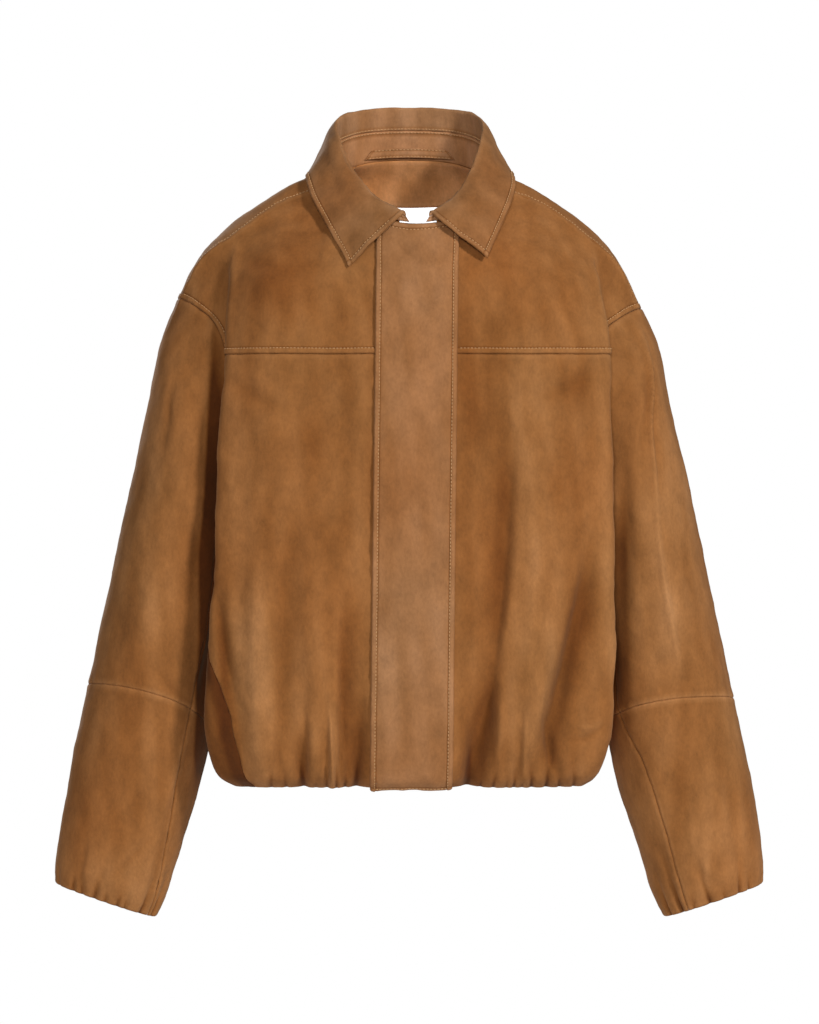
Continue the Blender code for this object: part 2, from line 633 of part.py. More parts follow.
def make_body():
    """Two yokes, two fronts and the back, which comes over the shoulders."""
    suede = finish("suede", SUEDE_TAN, 0.92)
    half = (BACK_COLUMNS - 1) // 2
    for side, hand in ((-1, "right"), (1, "left")):
        inner = column_for_x(side, YOKE_LEVELS, FRONT_EDGE)
        edge = abs(inner[0])
        matched = (np.arange(YOKE_START, half + 1) / half - edge) / (1 - edge)
        body_wall(f"front_yoke_{hand}", inner, float(side), YOKE_LEVELS,
                  np.array([0.0, *matched]), suede, ("top", "bottom", "end"))
        inner = column_for_x(side, FRONT_LEVELS, FRONT_EDGE)
        seam = -from_table(RIGHT_SEAM, FRONT_LEVELS) if side < 0 else 1.0
        body_wall(f"front_panel_{hand}", inner, seam, FRONT_LEVELS, FRONT_COLUMNS, suede,
                  ("top", "end"))
    seam = 4.0 - from_table(RIGHT_SEAM, BACK_LEVELS)
    body_wall("back_panel", 1.0 + 1e-6, seam, BACK_LEVELS, BACK_COLUMNS, suede,
              ("top", "start", "end"))


def make_band():
    """The covered front band, and the zip behind it."""
    band = finish("suede_band", SUEDE_BAND, 0.92)
    tape = finish("zip_tape", TAPE_BROWN, 0.85)
    steel = finish("zip_steel", ZIP_STEEL, 0.35, 1.0)
    below = np.concatenate([YOKE_LEVELS[1:], FRONT_LEVELS[1:-1]])

    def strip(name, half, levels, columns, material, lift, thickness):
        starts = column_for_x(-1, levels, half)
        ends = column_for_x(1, levels, half)
        body_wall(name, starts, ends, levels, columns, material, (), lift, thickness)

    strip("front_band", BAND_WIDTH / 2, np.array([BAND_TOP, *below, BAND_HEM]), BAND_COLUMNS, band,
          BAND_LIFT + DOUBLE_SUEDE, DOUBLE_SUEDE)
    behind = -SUEDE - SEAM_GAP
    strip("zip_tape", TAPE_WIDTH / 2, np.array([ZIP_TOP, *below]), 3, tape, behind, TAPE_THICKNESS)
    strip("zip_slider", SLIDER_WIDTH / 2, ZIP_TOP + np.linspace(0, SLIDER_LENGTH, 4), 5, steel,
          -SEAM_GAP / 2, SUEDE - SEAM_GAP / 2)


def make_sleeve(side, hand):
    """Upper and lower sleeve, each a top piece and an under piece."""
    suede = finish("suede", SUEDE_TAN, 0.92)
    column = 1 if side < 0 else 2

    def piece(part, half, columns):
        if part == "upper":
            share = np.linspace(0, 1, UPPER_ROWS)
        else:
            share = 1 - (1 - np.linspace(0, 1, LOWER_ROWS)) ** LOWER_CROWD
        low, high = (0.0, ELBOW_LEVEL) if part == "upper" else (ELBOW_LEVEL, CUFF_LEVEL)
        front = from_table(FRONT_SLEEVE_SEAM, low + share * (high - low), column)
        start, end = (front * 0 + BACK_SLEEVE_SEAM - 360, front)
        if half == "under":
            start, end = (front, front * 0 + BACK_SLEEVE_SEAM)
        angles = start[:, None] + (end - start)[:, None] * np.linspace(0, 1, columns)
        elbow = ELBOW_LEVEL + from_table(ELBOW_SEAM, np.mod(angles, 360.0), column)
        low, high = (SEAM_GAP, elbow) if part == "upper" else (elbow, CUFF_LEVEL)
        levels = low + share[:, None] * (high - low)
        grids = [
            sleeve(side, angles.ravel(), levels.ravel(), lift).reshape(*angles.shape, 3)
            for lift in (0.0, -SUEDE)
        ]
        seams = ("top", "bottom", "start", "end") if part == "upper" else ("top", "start", "end")
        wall(f"sleeve_{part}_{half}_{hand}", grids[0], grids[1], suede, seams)

    for part in ("upper", "lower"):
        piece(part, "top", TOP_COLUMNS)
        piece(part, "under", UNDER_COLUMNS)


def make_collar():
    suede = finish("suede", SUEDE_TAN, 0.92)
    across = np.array(STAND_ROWS)
    outer = grid_of(collar, -1.0, 1.0, across, COLLAR_COLUMNS, 0.0)
    inner = grid_of(collar, -1.0, 1.0, across, COLLAR_COLUMNS, DOUBLE_SUEDE)
    wall("collar_stand", outer, inner, suede, ("bottom",))
    across = np.array(FALL_ROWS)
    outer = grid_of(collar, -1.0, 1.0, across, COLLAR_COLUMNS, 0.0)
    inner = grid_of(collar, -1.0, 1.0, across, COLLAR_COLUMNS, DOUBLE_SUEDE)
    for grid, clearance in ((inner, COLLAR_CLEARANCE), (outer, COLLAR_CLEARANCE + DOUBLE_SUEDE)):
        fall = grid[FREE_ROWS:]
        grid[FREE_ROWS:] = rest_on_body(fall.reshape(-1, 3), clearance).reshape(fall.shape)
    wall("collar_fall", outer, inner, suede, ("top",))


def stand_face(x, z):
    """How far back the inner face of the collar stand is, at x and z."""
    across = np.linspace(0.0, STAND_ROWS[-1], 12)
    crossings = []
    for s in np.linspace(-LOOP_REACH, LOOP_REACH, 25):
        face = collar(np.full(len(across), s), across)
        crossings.append([np.interp(z, face[:, 2], face[:, axis]) for axis in (0, 1)])
    crossings = np.array(crossings)
    return np.interp(x, crossings[:, 0], crossings[:, 1])


def make_neck():
    """The facing inside the back of the neck, the hanger loop and the blank label."""
    inside = finish("suede_inside", SUEDE_INSIDE, 0.94)
    levels = BACK_LEVELS[:FACING_ROWS]
    under = -SUEDE - 2 * SEAM_GAP
    reach = FACING_STEPS * 2 / (BACK_COLUMNS - 1)
    body_wall("back_neck_facing", 2 - reach, 2 + reach, levels, 2 * FACING_STEPS + 1, inside, (),
              under, FACING_THICKNESS)
    label = finish("label_cloth", LABEL_WHITE, 0.75)
    levels = levels[-1] + np.array(LABEL_ROWS)
    columns_per_mm = COLUMN_AT[1] / NECK_BACK[1][0]
    span = LABEL_HALF_WIDTH * columns_per_mm
    middle = 2 - CLOSURE_X * columns_per_mm
    body_wall("neck_label", middle - span, middle + span, levels, 7, label, (), under,
              LABEL_THICKNESS)
    share = np.linspace(-1, 1, LOOP_POINTS)
    grids = []
    for depth in (LOOP_THICKNESS, 0.0):
        rows = []
        for half, z in ((LOOP_HALF_TOP, LOOP_TOP_Z), (LOOP_HALF_BOTTOM, LOOP_BOTTOM_Z)):
            x = share * half
            y = stand_face(x, z) - LOOP_GAP - LOOP_SAG * (1 - share**2) - depth
            rows.append(np.stack([x, y, np.full(LOOP_POINTS, z)], axis=1))
        grids.append(np.array(rows))
    wall("hanger_loop", grids[0], grids[1], inside)


def clear_scene():
    for thing in list(bpy.data.objects):
        bpy.data.objects.remove(thing, do_unlink=True)


clear_scene()
make_body()
make_band()
make_sleeve(-1, "right")
make_sleeve(1, "left")
make_collar()
make_neck()
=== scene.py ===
from collections import namedtuple
import math

import bpy
import numpy as np
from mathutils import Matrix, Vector
from mathutils.kdtree import KDTree


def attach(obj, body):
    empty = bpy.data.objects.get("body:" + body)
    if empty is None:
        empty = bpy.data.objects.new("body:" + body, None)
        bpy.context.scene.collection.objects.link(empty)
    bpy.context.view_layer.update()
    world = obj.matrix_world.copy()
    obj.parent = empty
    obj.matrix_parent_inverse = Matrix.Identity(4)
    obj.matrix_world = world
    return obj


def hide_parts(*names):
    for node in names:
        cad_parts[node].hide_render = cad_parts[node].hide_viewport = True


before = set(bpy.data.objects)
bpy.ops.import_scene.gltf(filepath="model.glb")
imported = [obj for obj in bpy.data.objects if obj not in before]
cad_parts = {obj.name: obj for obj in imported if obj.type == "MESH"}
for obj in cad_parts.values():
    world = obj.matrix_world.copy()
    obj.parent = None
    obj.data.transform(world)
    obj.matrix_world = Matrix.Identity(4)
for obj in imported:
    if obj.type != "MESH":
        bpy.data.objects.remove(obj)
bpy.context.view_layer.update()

# A cropped suede blouson, filled out as if it is worn. Sizes are in millimetres until a
# mesh is made. +X is the wearer's left, -Y the front, +Z up.

# ---- Suede ---------------------------------------------------------------------------
# The leather is a thin split with its fibres raised to a short nap and drum-dyed a warm
# tan. The nap lies unevenly, so the colour wanders between paler and rustier patches.
SUEDE_TAN = (0.287, 0.112, 0.030)
NAP_DEPTH = np.array([1.0, 1.36, 2.1])       # dark nap is richer, pale nap is dusty
WAVES, WAVE_SPREAD, WAVE_SUM = 16, 2.6, 2.8
STREAK, STREAK_SIZE, STREAK_CONTRAST = 0.064, 19, 1.5
DRIFT, DRIFT_SIZE = 0.024, 80
MOTTLE, MOTTLE_SIZE = 0.032, 10
RUST, RUST_SIZE = 0.22, 90
RUST_TINT = np.array([0.03, -0.06, -0.16])
NAP_SEED, DARKEST_NAP = 5, 0.3
NAP_HEIGHT = 0.0004
FRONT_BLEND = 20.0          # how softly the patches of the front end at its sides
Patch = namedtuple("Patch", "x z wide tall paler rustier")


def each(kind, rows):
    """The rows of a table, each as one of this kind."""
    return [kind(*row) for row in rows]


PATCHES = each(Patch, [
    # The first patch is painted light: it is paler to undo the shade on the left slope of the ridge
    # beside it.
    (-149, -455, 15, 95, 0.26, 0.1), (-173, -470, 6, 52, -0.30, 0.4),
    (-92, -320, 24, 80, -0.06, 0.4), (-56, -480, 16, 100, -0.13, 0.7),
    (-130, -250, 40, 55, -0.04, 0.2), (-48, -355, 13, 40, 0.12, 0.0),
    (72, -390, 22, 110, -0.17, 0.7), (124, -330, 16, 130, 0.12, -0.1),
    (156, -208, 12, 22, -0.26, 0.4), (158, -440, 13, 52, -0.18, 0.5),
    (180, -310, 12, 90, 0.10, 0.0), (64, -212, 22, 48, -0.16, 0.5),
    (55, -250, 12, 60, -0.10, 0.2), (-115, -110, 40, 42, -0.26, 0.8),
    (-42, -140, 14, 35, 0.06, 0.0), (82, -100, 30, 35, 0.06, 0.4), (52, -120, 10, 50, -0.12, 0.3),
    (28, -350, 15, 200, 0.07, -0.1), (-58, -20, 22, 26, -0.12, 0.9), (80, 5, 22, 26, -0.04, 0.8),
    (-262, -470, 22, 80, -0.06, 0.3), (-232, -330, 20, 110, 0.06, 0.0),
    (-246, -245, 13, 70, 0.16, 0.0), (-290, -600, 26, 60, -0.05, 0.5),
    (262, -520, 24, 60, -0.10, 0.2), (240, -310, 38, 170, 0.20, -0.1),
    (300, -620, 26, 50, 0.06, 0.3), (116, -212, 17, 32, 0.25, -0.1),
    (88, -305, 9, 40, -0.17, 0.4), (134, -300, 7, 24, -0.15, 0.3), (140, -385, 6, 50, 0.07, -0.1),
    (-168, -315, 9, 40, 0.09, -0.1), (-50, -330, 8, 40, 0.07, 0.0),
    (-152, -205, 24, 26, 0.10, 0.5), (-282, -662, 46, 40, 0.15, 0.0),
    (290, -645, 46, 50, 0.21, -0.1),
])


def unevenness(points, size, seed, flatten=(1.0, 1.0, 1.0)):
    """A smooth uneven value, mostly -1 to 1, with patches of about size millimetres."""
    dice = np.random.default_rng(seed)
    waves = dice.normal(size=(3, WAVES)) * WAVE_SPREAD / size
    phases = dice.uniform(0, 2 * math.pi, WAVES)
    return np.sin((points * flatten) @ waves + phases).sum(axis=-1) / WAVE_SUM


def nap_colour(points, base):
    """Colour of the nap at points: streaks that run down, patches and fine mottling; one patch is
    painted light.
    """
    streaks = unevenness(points, STREAK_SIZE, NAP_SEED, (1, 1, 0.14))
    value = STREAK * np.tanh(STREAK_CONTRAST * streaks)
    value += DRIFT * unevenness(points, DRIFT_SIZE, NAP_SEED + 1)
    value += MOTTLE * unevenness(points, MOTTLE_SIZE, NAP_SEED + 2, (1, 1, 0.25))
    rust = RUST * unevenness(points, RUST_SIZE, NAP_SEED + 3, (1, 1, 0.6))
    x, y, z = points[..., 0], points[..., 1], points[..., 2]
    front = 1.0 / (1.0 + np.exp(y / FRONT_BLEND))
    for patch in PATCHES:
        share = np.exp(-(((x - patch.x) / patch.wide) ** 2) - ((z - patch.z) / patch.tall) ** 2)
        value += patch.paler * share * front
        rust += patch.rustier * share * front
    tint = 1 + np.clip(rust, -1.0, 1.0)[..., None] * RUST_TINT
    return np.array(base) * tint * np.maximum(1 + value, DARKEST_NAP)[..., None] ** NAP_DEPTH


def set_inputs(node, values):
    """Set the values of a node's inputs by their names."""
    for name, value in values.items():
        node.inputs[name].default_value = value


def suede(name):
    """Nap: the colour set on the mesh, with its painted shade and highlight, fine fibres that break
    it up, and a dull sheen.
    """
    made = bpy.data.materials.new(name)
    made.use_nodes = True
    nodes, links = made.node_tree.nodes, made.node_tree.links
    shader = nodes["Principled BSDF"]
    set_inputs(shader, {
        "Roughness": 0.93, "Specular IOR Level": 0.18, "Sheen Weight": 0.11,
        "Sheen Roughness": 0.55, "Sheen Tint": (1.0, 0.72, 0.45, 1.0),
    })
    place = nodes.new("ShaderNodeTexCoord")
    run = nodes.new("ShaderNodeMapping")
    set_inputs(run, {"Scale": (1.0, 1.0, 0.6)})
    links.new(place.outputs["Object"], run.inputs["Vector"])
    both = nodes.new("ShaderNodeMath")
    both.operation = "ADD"
    fine, brushed = (420.0, 4.0, 0.62), (95.0, 3.0, 0.5)
    for number, (scale, detail, roughness) in enumerate((fine, brushed)):
        fibres = nodes.new("ShaderNodeTexNoise")
        set_inputs(fibres, {"Scale": scale, "Detail": detail, "Roughness": roughness})
        links.new(run.outputs["Vector"], fibres.inputs["Vector"])
        links.new(fibres.outputs["Fac"], both.inputs[number])
    spread = nodes.new("ShaderNodeMapRange")
    set_inputs(spread, {"From Min": 0.6, "From Max": 1.4, "To Min": 0.80, "To Max": 1.20})
    links.new(both.outputs["Value"], spread.inputs["Value"])
    colour = nodes.new("ShaderNodeVertexColor")
    colour.layer_name = "nap"
    shade = nodes.new("ShaderNodeVectorMath")
    shade.operation = "SCALE"
    links.new(colour.outputs["Color"], shade.inputs[0])
    links.new(spread.outputs["Result"], shade.inputs["Scale"])
    links.new(shade.outputs["Vector"], shader.inputs["Base Color"])
    relief = nodes.new("ShaderNodeBump")
    set_inputs(relief, {"Strength": 0.55, "Distance": NAP_HEIGHT})
    links.new(both.outputs["Value"], relief.inputs["Height"])
    links.new(relief.outputs["Normal"], shader.inputs["Normal"])
    return made


nap = suede("suede")

# ---- Cut of the body -----------------------------------------------------------------
# The body is cut full and square, with a dropped, forward shoulder. It hangs straight from
# the chest, folds back in front of each sleeve and is drawn in at the hem by an elastic.
CLOSURE_X, CLOSURE_LEAN = 8.2, 0.0115
UNDERARM_LEVEL = 236.0
NECK_COLUMN = 2
COLUMN_AT = np.array([0.0, 0.18, 0.36, 0.60, 0.76, 0.85, 1.0])
FACE_SHARE = (0.28, 0.53, 0.84)
FACE_DEPTH = (0.99, 0.95, 0.66)
SHOULDER = [(79, -26, -17), (128, -28, -35), (165, -40, -62), (192, -37, -80), (217, -20, -120.5)]
NECK_FRONT = [(0, -76, -52), (44, -63, -43)]
NECK_BACK = [(0, 74, 17), (52, 58, 11)]
NECK_RUN = (0.22, 0.91, 0.35)
NECK_TURN_REACH = 70.0
Section = namedtuple(
    "Section",
    "level z middle_y fold_y fold_right fold_left behind_x behind_y seam_x seam_y seam_z",
)
FRONT = each(Section, [      # levels of the front, from the shoulder down
    (38, -97, -91, -57, 166.0, 175.0, 172, -46, 205, -36, -127),
    (72, -130, -100, -68, 168.0, 180.0, 169, -55, 186, -51, -142),
    (120, -176, -108, -77, 170.0, 186.0, 165, -63, 173, -62, -170),
    (176, -232, -113, -82, 175.0, 187.0, 162, -66, 166, -60, -222),
    (236, -292, -116, -84, 179.0, 188.0, 160, -56, 156, 0, -288),
    (326, -380, -118, -86, 182.0, 188.5, 160, -54, 156, 2, -380),
    (428, -482, -118, -88, 188.5, 189.5, 170, -56, 164, 2, -482),
    (482, -536, -116, -86, 188.5, 187.0, 177, -56, 174, 2, -536),
    (508, -561, -112, -81, 182.0, 178.0, 173, -52, 172, 2, -561),
    (521, -573, -106, -76, 174.0, 169.0, 167, -48, 166, 2, -573),
    (530, -580, -96, -68, 163.0, 160.0, 157, -42, 157, 2, -580),
])
BACK_SHOULDER = [
    (32, [(0, 86, -4), (60, 72, -3), (99, 2, -7), (137, 2, -26.5), (171, 0, -53), (196, 2, -78),
          (220.5, 6, -121)]),
    (66, [(0, 95, -36), (58, 90, -34), (104, 66, -30), (142, 55, -46), (172, 47, -69),
          (194, 42, -91), (214, 34, -129)]),
    (112, [(0, 104, -84), (54, 102, -84), (100, 96, -85), (141, 85, -94), (167, 73, -107),
           (186, 64, -122), (198, 56, -154)]),
    (158, [(0, 109, -145), (52, 108, -145), (96, 105, -146), (142, 94, -149), (169, 81, -156),
           (181, 73, -168), (181, 67, -192)]),
]
BACK = each(Section, [       # levels of the back, below the shoulder blades
    (200, -226, 112, 82, 175.0, 175.0, 168, 68, 166, 58, -240),
    (236, -292, 113, 84, 179.0, 179.0, 160, 54, 156, 0, -288),
    (326, -380, 112, 84, 182.0, 182.0, 160, 52, 156, 2, -380),
    (428, -482, 110, 84, 187.0, 187.0, 170, 54, 164, 2, -482),
    (482, -536, 107, 82, 187.0, 187.0, 177, 54, 174, 2, -536),
    (508, -561, 103, 77, 180.0, 180.0, 173, 50, 172, 2, -561),
    (521, -573, 98, 72, 172.0, 172.0, 166, 46, 166, 2, -573),
    (530, -580, 88, 64, 162.0, 162.0, 157, 42, 157, 2, -580),
])
LEFT_DROP = [(0, 10), (40, 9), (80, 7), (130, 4), (236, 0)]
DROP_BESIDE = 0.4


def curve(knots, points, at, corner=None, sharpness=0.0, run=None):
    """Points on smooth curves, each through a row of points that stand at the knots. At a
    corner the curve turns by sharpness, and arrives straight or in the direction run."""
    spans = np.diff(knots)
    slopes = np.diff(points, axis=1) / spans[:, None]
    middle = (slopes[:, :-1] * spans[1:, None] + slopes[:, 1:] * spans[:-1, None])
    middle = middle / (spans[:-1] + spans[1:])[:, None]
    arriving = np.concatenate([slopes[:, :1], middle, slopes[:, -1:]], axis=1)
    leaving = arriving.copy()
    if corner is not None:
        blend = np.broadcast_to(sharpness, at.shape)[:, None]
        straight = slopes[:, corner - 1]
        if run is not None:
            straight = np.linalg.norm(straight, axis=1)[:, None] * run
        arriving[:, corner] += blend * (straight - arriving[:, corner])
        leaving[:, corner] += blend * (slopes[:, corner] - leaving[:, corner])
    span = np.clip(np.searchsorted(knots, at, side="right") - 1, 0, len(knots) - 2)
    row = np.arange(len(at))
    width = spans[span][:, None]
    t = (at[:, None] - knots[span][:, None]) / width
    start, end = points[row, span], points[row, span + 1]
    return (
        start * (2 * t**3 - 3 * t**2 + 1)
        + leaving[row, span] * width * (t**3 - 2 * t**2 + t)
        + end * (3 * t**2 - 2 * t**3)
        + arriving[row, span + 1] * width * (t**3 - t**2)
    )


def ramp(value, low, high):
    """0 below low, 1 above high, smooth between."""
    t = np.clip((value - low) / (high - low), 0.0, 1.0)
    return t * t * (3 - 2 * t)


def from_table(rows, at, column=1):
    """A column of a table, read between its rows at a value of the first column."""
    table = np.array(rows, float)
    return np.interp(at, table[:, 0], table[:, column])


def closure_x(z):
    """The closure leans: at the hem it is nearer the middle than at the neck."""
    return CLOSURE_X + CLOSURE_LEAN * z


def half_section(section, side, face):
    """A level's points: the closure, the face, the fold beside it, behind it, the seam."""
    fold = side * (section.fold_right if side < 0 else section.fold_left)
    middle_x = closure_x(section.z) if face < 0 else 0.0
    points = [(middle_x, section.middle_y, section.z)]
    for share, depth in zip(FACE_SHARE, FACE_DEPTH):
        x = middle_x + share * (fold - middle_x)
        y = section.fold_y + depth * (section.middle_y - section.fold_y)
        points.append((x, y, section.z))
    points.append((fold, section.fold_y, section.z))
    points.append((side * section.behind_x, section.behind_y, section.z))
    points.append((side * section.seam_x, section.seam_y, section.seam_z))
    return points


def body_rows(side, face):
    """The levels and rows of points of one side of the front (-1) or of the back (1)."""
    neck = NECK_FRONT if face < 0 else NECK_BACK
    shift = closure_x(-52) if face < 0 else 0.0
    top = [(side * x + shift, y, z) for x, y, z in neck]
    top += [(side * x, y, z) for x, y, z in SHOULDER]
    levels, rows = [0.0], [top]
    if face > 0:
        for level, points in BACK_SHOULDER:
            levels.append(level)
            rows.append([(side * x, y, z) for x, y, z in points])
    for section in FRONT if face < 0 else BACK:
        levels.append(section.level)
        rows.append(half_section(section, side, face))
    rows = np.array(rows, float)
    levels = np.array(levels, float)
    if side > 0:
        drop = from_table(LEFT_DROP, levels)
        rows[:, -1, 2] -= drop
        rows[:, -2, 2] -= DROP_BESIDE * drop
    return levels, rows


BODY = {(side, face): body_rows(side, face) for side in (-1, 1) for face in (-1, 1)}


def quarter(u, level, side, face):
    """The surface of one such quarter: u runs from the middle (0) to the seam (1)."""
    levels, rows = BODY[side, face]
    other = BODY[-side, face][1]
    full = np.concatenate([other[:, 1:2], rows], axis=1)
    underarm = int(np.searchsorted(levels, UNDERARM_LEVEL))
    columns = []
    for column in range(full.shape[1]):
        points = np.broadcast_to(full[None, :, column], (len(level), len(levels), 3))
        at_seam = column == full.shape[1] - 1
        columns.append(curve(levels, points, level, underarm if at_seam else None, 1.0))
    across = np.stack(columns, axis=1)
    knots = np.concatenate([[-COLUMN_AT[1]], COLUMN_AT])
    turn = 1.0 - ramp(level, 0.0, NECK_TURN_REACH)
    run = np.array(NECK_RUN) * (side, 1, 1) * -face
    return curve(knots, across, u, NECK_COLUMN + 1, turn, run)


def body(a, level):
    """The body's surface: a is -1 (right seam) to 1 (left seam) over the front and 1 to 3
    over the back; level runs down from the shoulder seam."""
    a = np.where(a > 3, a - 4, a)
    face = np.where(a > 1, 1, -1)
    u = np.where(a > 1, 2 - a, a)
    points = np.zeros((len(a), 3))
    for side in (-1, 1):
        for way in (-1, 1):
            chosen = (face == way) & ((u < 0) == (side < 0))
            if chosen.any():
                points[chosen] = quarter(np.abs(u[chosen]), level[chosen], side, way)
    return points


# ---- Cutting and sewing --------------------------------------------------------------
# Each piece is cut with turned edges. Where two meet, the seam sinks a little, the turning
# under it stands up, and a row of thick thread draws the suede down and puckers it.
METRES = 0.001
Edge = namedtuple("Edge", "radius stitch_at raised sunk pucker steps until", defaults=(1e9,))
SUEDE_THICKNESS, THINNEST_EDGE = 1.5, 0.1
COARSE_STEPS, LONGEST_END = 41, 0.4
WAVER, WAVER_SIZE, DIMPLE, DIMPLE_SIZE = 0.22, 24, 0.10, 8
STILL_REACH = 24.0
TURNING_REACH, TURNING_RISE, TURNING_FALL = 4.0, 1.5, np.array([-0.9, 0.5])
SUNK_WIDTH, PUCKER_REACH, PUCKER_SIZE, FINE_PUCKER_SIZE = 2.2, 8.0, 9, 4.5
SEWN_FADE = np.array([-5.0, 5.0])
GROOVE_DEPTH, GROOVE_WIDTH, GROOVE_DARKER = 0.55, 0.75, 0.35
# Fold colour: ridges are rubbed paler, and troughs get painted shade, by their height.
RIDGE_RUB_AND_TROUGH_SHADE, DEEPEST_SHADED_TROUGH, HIGHEST_RUBBED_RIDGE = 0.044, -8.0, 5.0       # paler per millimetre of a ridge
# The last of these is painted shade: the inner face of each suede piece is coloured darker.
TURNING_PALER, EDGE_DARKER, INSIDE_PAINTED_SHADE = 0.10, 0.10, 0.85
HANGING_SHARE, HANGING_STARTS, HANGING_WHOLE = 0.85, 0.75, 0.95
STITCH_PITCH, STITCH_LENGTH, THREAD_RADIUS, BEAD_SIDES = 3.3, 2.35, 0.40, 5
THREAD_TAN = (0.57, 0.32, 0.14)
Piece = namedtuple("Piece", "shell outer out edges")


def plain_material(name, colour, roughness, metallic=0.0):
    made = bpy.data.materials.new(name)
    made.use_nodes = True
    set_inputs(made.node_tree.nodes["Principled BSDF"], {
        "Base Color": (*colour, 1.0), "Roughness": roughness, "Metallic": metallic,
    })
    return made


thread = plain_material("thread", THREAD_TAN, 0.7)


def made_of(name, points, faces, material, colours=None):
    """An object from points in millimetres; it rides with the jacket."""
    mesh = bpy.data.meshes.new(name)
    mesh.from_pydata((points * METRES).tolist(), [], faces)
    mesh.materials.append(material)
    mesh.shade_smooth()
    if colours is not None:
        # The layer holds the nap's colour together with painted shade and highlight.
        layer = mesh.color_attributes.new("nap", "FLOAT_COLOR", "POINT")
        full = np.concatenate([colours, np.ones((len(colours), 1))], axis=1)
        layer.data.foreach_set("color", full.astype(np.float32).ravel())
    thing = bpy.data.objects.new(name, mesh)
    bpy.context.scene.collection.objects.link(thing)
    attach(thing, "root")
    return thing


def running_lengths(net):
    """Distance along each row of net from its first point."""
    gaps = np.linalg.norm(np.diff(net, axis=1), axis=2)
    return np.concatenate([np.zeros((len(net), 1)), np.cumsum(gaps, axis=1)], axis=1)


def spaced(length, count, near_start, near_end):
    """Distances along a length: close together at its ends, and count evenly between."""
    head, tail = (
        np.array(near) * min(1.0, LONGEST_END * length / max(near[-1], 1.0))
        for near in (near_start, near_end)
    )
    middle = np.linspace(head[-1], length - tail[-1], count + 2)[1:-1]
    return np.concatenate([head, middle, (length - tail)[::-1]])


def even_grid(points_at, step, edges):
    """Places (s across, t down) on a piece, a step apart each way, closer along its edges."""
    coarse = np.linspace(0, 1, COARSE_STEPS)
    s, t = np.meshgrid(coarse, coarse)
    net = points_at(s.ravel(), t.ravel()).reshape(COARSE_STEPS, COARSE_STEPS, 3)
    along = running_lengths(net)
    start, end = edges["start"].steps, edges["end"].steps
    count = max(1, int((along[:, -1].mean() - start[-1] - end[-1]) / step[0]))
    across = np.array([
        np.interp(spaced(row[-1], count, start, end), row, coarse) for row in along
    ])
    wide = across.shape[1]
    t = np.repeat(coarse[:, None], wide, axis=1)
    net = points_at(across.ravel(), t.ravel()).reshape(COARSE_STEPS, wide, 3)
    down = running_lengths(net.swapaxes(0, 1))
    top, bottom = edges["top"].steps, edges["bottom"].steps
    count = max(1, int((down[:, -1].mean() - top[-1] - bottom[-1]) / step[1]))
    t = np.array([
        np.interp(spaced(row[-1], count, top, bottom), row, coarse) for row in down
    ])
    s = np.array([np.interp(t[j], coarse, across[:, j]) for j in range(wide)])
    return s.T, t.T


def edged(start, end, top, bottom):
    """The edges of a piece by name, in the order in which they are turned."""
    return {"start": start, "end": end, "top": top, "bottom": bottom}


def seen_from(edge, grid):
    """The same grid, turned so that the edge is its first column."""
    turned = edged(grid, grid[:, ::-1], grid.swapaxes(0, 1), grid[::-1].swapaxes(0, 1))
    return turned[edge]


def faces_out(points, inside, showing):
    """Directions out of a grid of points, away from inside, or towards it."""
    along = np.gradient(points, axis=1)
    down = np.gradient(points, axis=0)
    out = np.cross(down, along)
    out /= np.maximum(np.linalg.norm(out, axis=2), 1e-9)[..., None]
    away = ((points - inside(points)) * out).sum(axis=2).mean()
    return out * (showing if away > 0 else -showing)


def within_body(points):
    """A place inside the body, level with each point, for telling out from in."""
    return points * (0.5, 0.0, 1.0) - (0, 0, 60)


